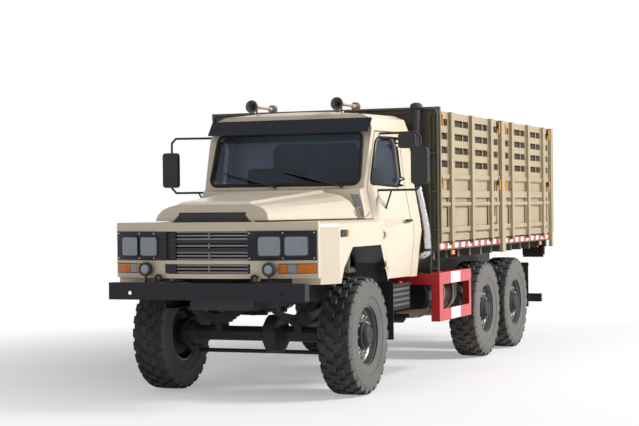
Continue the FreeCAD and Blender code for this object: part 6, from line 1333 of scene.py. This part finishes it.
@dataclass
class CabTrim:
    """Stripes, the mirror stay's painted shadow, markers, roof horns and the air intake fixed to the cab and
    fenders.
    """

    cowl_stripes: tuple[Outline, ...] = (
        ((0.711, 1.81), (0.795, 1.806), (0.819, 1.753), (0.742, 1.744)),
        ((0.742, 1.744), (0.819, 1.753), (0.842, 1.694), (0.763, 1.686)),
        ((0.797, 1.682), (0.843, 1.688), (0.853, 1.624), (0.846, 1.584), (0.822, 1.604)))
    pillar_stripes: tuple[Outline, ...] = (((0.466, 1.585), (0.466, 1.597), (0.565, 1.645), (0.565, 1.633)),)
    lid_stripes: tuple[Outline, ...] = (((0.388, 1.66), (0.41, 1.66), (0.42, 1.602), (0.402, 1.602)),)
    # Painted shadow of the mirror stay, grey on the door.
    door_stripes: tuple[Outline, ...] = (
        ((0.695, 1.70), (0.712, 1.70), (0.742, 1.756), (0.722, 1.765)),
        ((0.722, 1.765), (0.742, 1.752), (0.80, 1.786), (0.79, 1.802)),
        ((0.785, 1.768), (0.797, 1.773), (0.905, 1.67), (0.895, 1.665)))
    stripe_depth: float = 0.0015
    cowl_y: float = 0.4545
    cowl_foot_z: float = 1.578
    cowl_lean: float = 0.09
    horn: Triple = (0.447, 0.84, 2.6805)
    feet_y: Pair = (0.97, 1.345)
    roof_z: float = 2.6145
    pipe: Pair = (1.02, 1.53)
    duct_y: float = 1.512
    duct_run: Outline = ((1.075, 1.70), (1.122, 1.45), (1.126, 1.225), (1.06, 1.195), (0.19, 1.19))

    def stripes(self, side: Side) -> None:
        """Slanted grey stripes on the cowl, the pillar and the bonnet's rear edge, and the mirror stay's
        painted shadow in grey on the door.

        Args:
            side: Side of the truck that it is for.
        """
        cowl = [plate("stripe", [at(x, self.cowl_y + (z - self.cowl_foot_z) * self.cowl_lean, z)
                                 for x, z in outline], (0.0, -self.stripe_depth, 0.0), 0.0)
                for outline in self.cowl_stripes]
        put(joined(f"cowl_stripe_{side.value}", cowl), Finishes.STRIPE_AND_SHADOW, side)
        for node, body, outlines in (("cab_front_frame", "truck", self.pillar_stripes),
                                     ("bonnet", "engine_lid", self.lid_stripes),
                                     ("door_left", f"cab_door_{side.value}", self.door_stripes)):
            tiles = [plate("stripe", [at(skin_x(node, y, z, 0.0003), y, z) for y, z in outline],
                           (self.stripe_depth, 0.0, 0.0), 0.0) for outline in outlines]
            put(joined(f"{node}_stripe_{side.value}", tiles), Finishes.STRIPE_AND_SHADOW, side, body)

    def marker(self, side: Side) -> None:
        """Side marker lamp on the fender.

        Args:
            side: Side of the truck that it is for.
        """
        x = min(skin_x("fenders", y, z) for y in (-0.66, -0.49) for z in (1.43, 1.5))
        base = block(f"side_marker_{side.value}", at(x - 0.004, -0.665, 1.435),
                     at(x + 0.012, -0.535, 1.495), 0.004, 3)
        lens = block(f"side_marker_lens_{side.value}", at(x - 0.004, -0.535, 1.437),
                     at(x + 0.011, -0.485, 1.493), 0.004, 3)
        put(stepped(base, OUTWARD, (0.006, 0.0), (0.002, -0.001)), Finishes.TRIM, side)
        put(stepped(lens, OUTWARD, (0.006, 0.001)), AMBER_LENS, side)

    def horns(self, side: Side) -> None:
        """One long horn with its bell, tube, driver and feet.

        Args:
            side: Side of the truck that it is for.
        """
        bell = [(0.10, 0.0), (0.085, 0.009), (0.04, 0.022), (0.012, 0.045), (0.001, 0.06), (0.0, 0.0635),
                (0.006, 0.064), (0.014, 0.06), (0.03, 0.043), (0.07, 0.027), (0.13, 0.019)]
        pipe = [(0.125, 0.0), (0.125, 0.0185), (0.14, 0.02), (0.15, 0.017), (0.30, 0.0145), (0.45, 0.0135),
                (0.46, 0.022), (0.485, 0.024), (0.49, 0.0)]
        driver = solid((0.486, 0.03), (0.498, 0.0415), (0.512, 0.042), (0.516, 0.038), (0.53, 0.038),
                       (0.534, 0.042), (0.55, 0.0415), (0.56, 0.03))
        for part, profile, steps, look in (
                ("bell", bell, 40, Finishes.HORN_GREY), ("tube", pipe, 32, Finishes.BRASS),
                ("driver", driver, 32, Finishes.HORN_GREY)):
            piece = lathe(f"horn_{part}_{side.value}", profile, at(*self.horn), Axis.Y, steps)
            put(piece, look, side, replaces=("roof_horns",))
        x, _, z = self.horn
        feet = [tube("horn_foot", [at(x, y, z - 0.008), at(x, y, self.roof_z)], 0.009) for y in self.feet_y]
        put(joined(f"horn_feet_{side.value}", feet), Finishes.TRIM, side, replaces=("roof_horns",))

    def intake(self) -> None:
        """Mushroom cap, black pipe and the crinkled foil wrapped duct."""
        x, y = self.pipe
        dome = lathe("intake_dome", [(2.655, 0.0), (2.655, 0.03), (2.65, 0.058), (2.655, 0.0625),
                                     (2.675, 0.0625), (2.692, 0.055), (2.702, 0.042), (2.708, 0.02),
                                     (2.7095, 0.0)],
                     at(x, y, 0.0), Axis.Z)
        pipe = tube("intake_pipe", [at(x, y, 2.66), at(x, y, 2.2), at(1.035, 1.514, 1.86)], 0.036, 0.2,
                    facets=6)
        brace = block("intake_pipe", at(x - 0.02, 1.4595, 2.28), at(x + 0.02, y, 2.32))
        fine: list[Vector] = []
        for here in bent([at(1.035, 1.514, 1.875), *(at(x, self.duct_y, z) for x, z in self.duct_run)],
                         0.09, 9):
            last = fine[-1] if fine else here
            count = max(1, int((here - last).length / 0.012))
            fine += [last.lerp(here, (index + 1) / count) for index in range(count)]
        duct = tube("foil_duct", fine, 0.038, facets=5)
        spread = random.Random(11)
        for corner in duct.data.vertices:
            corner.co += corner.normal * spread.uniform(-0.003, 0.003)
        clamp = lathe("foil_clamp", [(1.245, 0.034), (1.245, 0.0435), (1.249, 0.0445), (1.267, 0.0445),
                                     (1.271, 0.0435), (1.271, 0.034)],
                      at(1.1255, self.duct_y, 0.0), Axis.Z, 32)
        for piece, look in ((joined("intake_pipe", [dome, pipe, brace]), Finishes.TRIM),
                            (duct, Finishes.FOIL), (clamp, Finishes.TRIM)):
            put(piece, look, replaces=("air_intake",))

    def build(self) -> None:
        """Model every fitting."""
        for side in Side:
            self.stripes(side)
            self.marker(side)
        for side in Side:
            self.horns(side)
        self.intake()


@dataclass
class Seats:
    """Padded seats with crowned cushions."""

    x: Pair = (0.18, 0.68)
    front: float = 0.89
    rear: float = 1.33
    top: float = 1.52
    thick: float = 0.15
    back_thick: float = 0.11
    back_height: float = 0.56
    inset: float = 0.04

    def cushion(self, name: str, low: Triple, high: Triple, axis: int) -> Piece:
        """Crowned cushion that fills a box.

        Args:
            name: The piece's name.
            low: Lowest corner.
            high: Highest corner.
            axis: Which axis the padding bulges along.

        Returns:
            The cushion.
        """
        piece = block(name, low, high, 0.0)
        edit(piece)
        bpy.ops.mesh.subdivide(number_cuts=5)
        bpy.ops.object.mode_set(mode="OBJECT")
        middle = [(a + b) / 2.0 for a, b in zip(low, high)]
        half = [(b - a) / 2.0 for a, b in zip(low, high)]
        for corner in piece.data.vertices:
            share = [(corner.co[k] - middle[k]) / half[k] for k in range(3)]
            crown = 1.0 - 0.16 * max(abs(share[k]) for k in range(3) if k != axis) ** 4
            corner.co[axis] = middle[axis] + share[axis] * half[axis] * crown
        change(piece, "SUBSURF", levels=2)
        return soften(piece, 60.0)

    def build(self) -> None:
        """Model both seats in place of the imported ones."""
        (x0, x1), low = self.x, self.top - self.thick
        for side in Side:
            cushion = self.cushion(f"seat_cushion_{side.value}", at(x0, self.front, low),
                                   at(x1, self.rear, self.top), 2)
            back = self.cushion(f"seat_back_{side.value}", at(x0, self.rear - self.back_thick, self.top),
                                at(x1, self.rear, self.top + self.back_height), 1)
            base = block(f"seat_base_{side.value}", at(x0 + self.inset, self.front + self.inset, 1.1203),
                         at(x1 - self.inset, self.rear - self.inset, low), 0.006)
            stepped(base, AHEAD, (0.03, 0.0), (0.006, -0.006))
            for piece, look in ((cushion, Finishes.SEAT), (back, Finishes.SEAT), (base, Finishes.TRIM)):
                put(piece, look, side, replaces=("seats",))


@dataclass
class SideGate:
    """Fittings of one side gate: flanges, slot bars, dark boards of painted shade, rolls and latches."""

    which: str
    low: float
    high: float
    pitch: float = 0.735
    sheet_x: float = 1.197
    slots: Pair = (2.076, 2.561)
    board_x: Pair = (1.157, 1.169)

    @property
    def ribs(self) -> list[float]:
        """Middle of each rib of a gate."""
        return [(self.low + self.high) / 2.0 + shift * self.pitch for shift in (-1, 0, 1)]

    def flanges(self) -> list[Piece]:
        """Pressed flanges on both sides of each rib.

        Returns:
            The flanges.
        """
        x = self.sheet_x
        return [block("flange", at(x - 0.001, rib + near, z0), at(x + thick, rib + far, z1), 0.001)
                for rib in self.ribs for near, far in ((-0.072, -0.0455), (0.0455, 0.072))
                for z0, z1, thick in ((1.41, 1.76, 0.003), (2.012, 2.628, 0.004))]

    def slot_bars(self) -> list[Piece]:
        """Upright bars behind the slots, two between each pair of ribs.

        Returns:
            The bars.
        """
        ribs, (z0, z1) = self.ribs, self.slots
        spots = [start + (end - start) * share for start, end in zip(ribs, ribs[1:])
                 for share in (0.30, 0.70)]
        return [block("slot_bar", at(1.174, y - 0.011, z0 - 0.02), at(1.1845, y + 0.011, z1 + 0.02), 0.002)
                for y in spots]

    def boards(self) -> list[Piece]:
        """Dark boards behind the slots, and the board below them: painted shade of the bed's inside, seen
        through the slots.

        Returns:
            The boards.
        """
        (x0, x1), rows = self.board_x, [(z, z + 0.128) for z in (2.045, 2.178, 2.311, 2.444)]
        # Painted shade: dark boards behind the slots and below them.
        return [block("board", at(x0, self.low + 0.02, z0), at(x1, self.high - 0.02, z1))
                for z0, z1 in (*rows, (1.42, 1.96))]

    def rolls(self) -> list[Piece]:
        """Rolled bead, pressed band and small tie loops between the gate's ribs.

        Returns:
            The rolls, bands and loops.
        """
        x, pieces = self.sheet_x, []
        stops = [self.low + 0.01, *self.ribs, self.high - 0.01]
        for near, far in ((first + 0.03, last - 0.03) for first, last in zip(stops, stops[1:])):
            pieces.append(tube("roll", [at(x, near, 1.705), at(x, far, 1.705)], 0.026))
            pieces.append(block("roll", at(x - 0.001, near, 1.425), at(x + 0.012, far, 1.475), 0.004))
            for y in (near + (far - near) * share for share in (0.3, 0.7)):
                loop = [at(x + 0.008, y + 0.032 * math.cos(turn), 1.42 + 0.05 * math.sin(turn))
                        for turn in (index * math.pi / 8.0 for index in range(9))]
                pieces.append(tube("roll", loop, 0.006))
        return pieces

    def corners(self) -> list[Triple]:
        """Each latch's place along the gate and height, and the way its lever leans."""
        return [(y, z, turn) for y, turn in ((self.low + 0.05, 1.0), (self.high - 0.05, -1.0))
                for z in (1.955, 2.585)]

    def cases(self) -> list[Piece]:
        """Dark latch cases at the gate's corners.

        Returns:
            The cases.
        """
        x = self.sheet_x
        return [block("latch", at(x, y - 0.028, z - 0.045), at(x + 0.018, y + 0.028, z + 0.035), 0.004)
                for y, z, _ in self.corners()]

    def levers(self) -> list[Piece]:
        """Yellow levers on the latch cases.

        Returns:
            The levers.
        """
        x = self.sheet_x
        return [tube("lever", [at(x + 0.012, y, z + 0.02), at(x + 0.03, y + turn * 0.004, z + 0.01),
                               at(x + 0.028, y + turn * 0.012, z - 0.1)], 0.009, 0.01)
                for y, z, turn in self.corners()]

    def build(self, side: Side) -> None:
        """Model the gate's fittings.

        Args:
            side: Side of the truck that it is for.
        """
        tag = f"{self.which}_{side.value}"
        for name, pieces, look in (
                (f"gate_flanges_{tag}", self.flanges, Finishes.KHAKI),
                (f"gate_slot_bars_{tag}", self.slot_bars, Finishes.KHAKI),
                (f"gate_boards_{tag}", self.boards, Finishes.SLOT_SHADE),
                (f"gate_rolls_{tag}", self.rolls, Finishes.KHAKI),
                (f"gate_latch_{tag}_cases", self.cases, Finishes.TRIM),
                (f"gate_latch_{tag}_levers", self.levers, Finishes.AMBER_HANDLE)):
            put(joined(name, pieces()), look, side, f"side_gate_{tag}")


@dataclass
class Gates:
    """The four side gates of the bed, two on each side."""

    gates: tuple[SideGate, ...] = (SideGate("front", 1.67, 3.8935), SideGate("rear", 4.0495, 6.201))

    def build(self) -> None:
        """Model the fittings of all four gates."""
        for side in Side:
            for gate in self.gates:
                gate.build(side)


@dataclass
class BedTrim:
    """Warning strip, side lamps, headboard tube and rear lamps."""

    strip_y: Pair = (1.60, 6.30)
    step: float = 0.12
    gap: float = 0.0005
    under_deck: float = 1.2459

    def strip(self, side: Side) -> None:
        """Red and white strip along the deck's edge.

        Args:
            side: Side of the truck that it is for.
        """
        start, end = self.strip_y
        starts = [start + index * self.step for index in range(int((end - start) / self.step))]
        for first, colour, look in ((0, "red", Finishes.RED), (1, "white", Finishes.WHITE)):
            tiles = [block("strip", at(1.1955, y + self.gap, 1.262),
                           at(1.1975, y + self.step - self.gap, 1.312), 0.0005) for y in starts[first::2]]
            put(joined(f"strip_{colour}_{side.value}", tiles), look, side)

    def side_lamps(self, side: Side) -> None:
        """Amber lamps hung under the deck's edge.

        Args:
            side: Side of the truck that it is for.
        """
        for index, y in enumerate((2.149, 5.79)):
            tag = f"{side.value}_{index}"
            base = block(f"bed_lamp_base_{tag}", at(1.165, y - 0.06, 1.188),
                         at(1.182, y + 0.06, self.under_deck))
            lens = block(f"bed_lamp_lens_{tag}", at(1.1815, y - 0.052, 1.194), at(1.197, y + 0.052, 1.238),
                         0.005, 3)
            put(stepped(base, OUTWARD, (0.003, 0.0), (0.001, -0.001)), Finishes.TRIM, side)
            put(stepped(lens, OUTWARD, (0.006, 0.001)), AMBER_LENS, side)

    def headboard_tube(self) -> None:
        """Light tube round the headboard's top edge."""
        points = [at(x, 1.5905, z)
                  for x, z in ((-1.212, 1.36), (-1.212, 2.652), (1.212, 2.652), (1.212, 1.36))]
        # The tube takes the khaki darkened with painted shade.
        put(tube("headboard_tube", points, 0.0145, 0.05), Finishes.DECK)

    def rear_lamps(self, side: Side) -> None:
        """Rear lamp case on a bracket under the deck, with three lenses.

        Args:
            side: Side of the truck that it is for.
        """
        bracket = block(f"rear_lamp_bracket_{side.value}", at(0.86, 6.222, 1.03),
                        at(1.12, 6.229, self.under_deck), 0.002)
        case = block(f"rear_lamp_case_{side.value}", at(0.85, 6.2285, 1.06), at(1.13, 6.27, 1.17), 0.006, 3)
        put(stepped(bracket, AHEAD, (0.02, 0.0), (0.002, -0.001)), Finishes.BLACK, side)
        put(stepped(case, BEHIND, (0.006, 0.0), (0.002, -0.004)), Finishes.TRIM, side)
        for index, (x0, x1, glass) in enumerate(((0.86, 0.94, CLEAR_LENS), (0.944, 1.036, RED_LENS),
                                                 (1.04, 1.12, AMBER_LENS))):
            lens = block(f"rear_lamp_lens_{side.value}_{index}", at(x0, 6.264, 1.07), at(x1, 6.276, 1.16),
                         0.004, 3)
            put(stepped(lens, BEHIND, (0.006, 0.001)), glass, side)

    def build(self) -> None:
        """Model the bed's fittings."""
        for side in Side:
            self.strip(side)
            self.side_lamps(side)
            self.rear_lamps(side)
        self.headboard_tube()


@dataclass
class SideTrim:
    """Guard patches, tank straps, battery relief and step treads."""

    guard_x: float = 1.235
    patch_y: Pair = (1.93, 2.25)
    patches: Outline = ((0.916, 1.028), (0.556, 0.668))
    tank: Pair = (0.88, 0.80)
    straps_y: Triple = (1.80, 2.10, 2.40)
    rib_pitch: float = 0.085
    tread_pitch: float = 0.032
    treads: int = 21

    def guard(self, side: Side) -> None:
        """White patches on the red guard.

        Args:
            side: Side of the truck that it is for.
        """
        (y0, y1), x = self.patch_y, self.guard_x
        for index, (z0, z1) in enumerate(self.patches):
            name = f"guard_patch_{side.value}_{index}"
            put(block(name, at(x - 0.001, y0, z0), at(x + 0.0008, y1, z1), 0.0004), Finishes.WHITE, side)

    def straps(self, side: Side) -> None:
        """Gold straps round the tank.

        Args:
            side: Side of the truck that it is for.
        """
        half = [(-0.016, 0.2315), (-0.016, 0.2338), (-0.014, 0.2345)]
        profile, (x, z) = [*half, *((-y, r) for y, r in half[::-1])], self.tank
        rings = [lathe("strap", profile, at(x, y, z), Axis.Y, 64) for y in self.straps_y]
        put(joined(f"tank_straps_{side.value}", rings), Finishes.GOLD, side)

    def battery(self) -> None:
        """Ribs on the battery box with its red cap."""
        ribs = [block("rib", at(0.9895, 0.83, z), at(0.9965, 1.33, z + 0.022))
                for z in (0.735, 0.785, 0.835, 0.885)]
        for shift in (self.rib_pitch * index for index in range(5)):
            ribs.append(block("rib", at(0.55 + shift, 0.7935, 0.73), at(0.575 + shift, 0.8005, 0.915)))
        put(joined("battery_ribs", ribs), Finishes.GREY_PLASTIC)
        profile = solid((0.9495, 0.03), (0.962, 0.03), (0.967, 0.027), (0.969, 0.015))
        put(lathe("battery_cap", profile, at(0.95, 1.16, 0.0), Axis.Z, 28), Finishes.RED)

    def step_treads(self, side: Side) -> None:
        """Worn tread bars on the step plate.

        Args:
            side: Side of the truck that it is for.
        """
        bars = [block("tread", at(0.958, 0.875 + shift, 0.6715), at(1.144, 0.889 + shift, 0.6755), 0.0012)
                for shift in (self.tread_pitch * index for index in range(self.treads))]
        put(joined(f"step_tread_{side.value}", bars), Finishes.RUST, side)

    def build(self) -> None:
        """Model the fittings of both sides."""
        for side in Side:
            self.guard(side)
            self.straps(side)
            self.step_treads(side)
        self.battery()


def dress_nodes() -> None:
    """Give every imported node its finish."""
    for name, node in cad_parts.items():
        paint(node, node_finish(name))


def main() -> None:
    """Build the studio, dress the nodes and add every sub-assembly."""
    logging.basicConfig(level=logging.INFO, format="%(name)s: %(message)s")
    Studio().build()
    dress_nodes()
    Glazing().dress()
    for part in (RoadWheels, FrontLamps, FrontTrim, Doors, CabTrim, Seats, Gates, BedTrim, SideTrim):
        part().build()


if __name__ == "__main__":
    main()
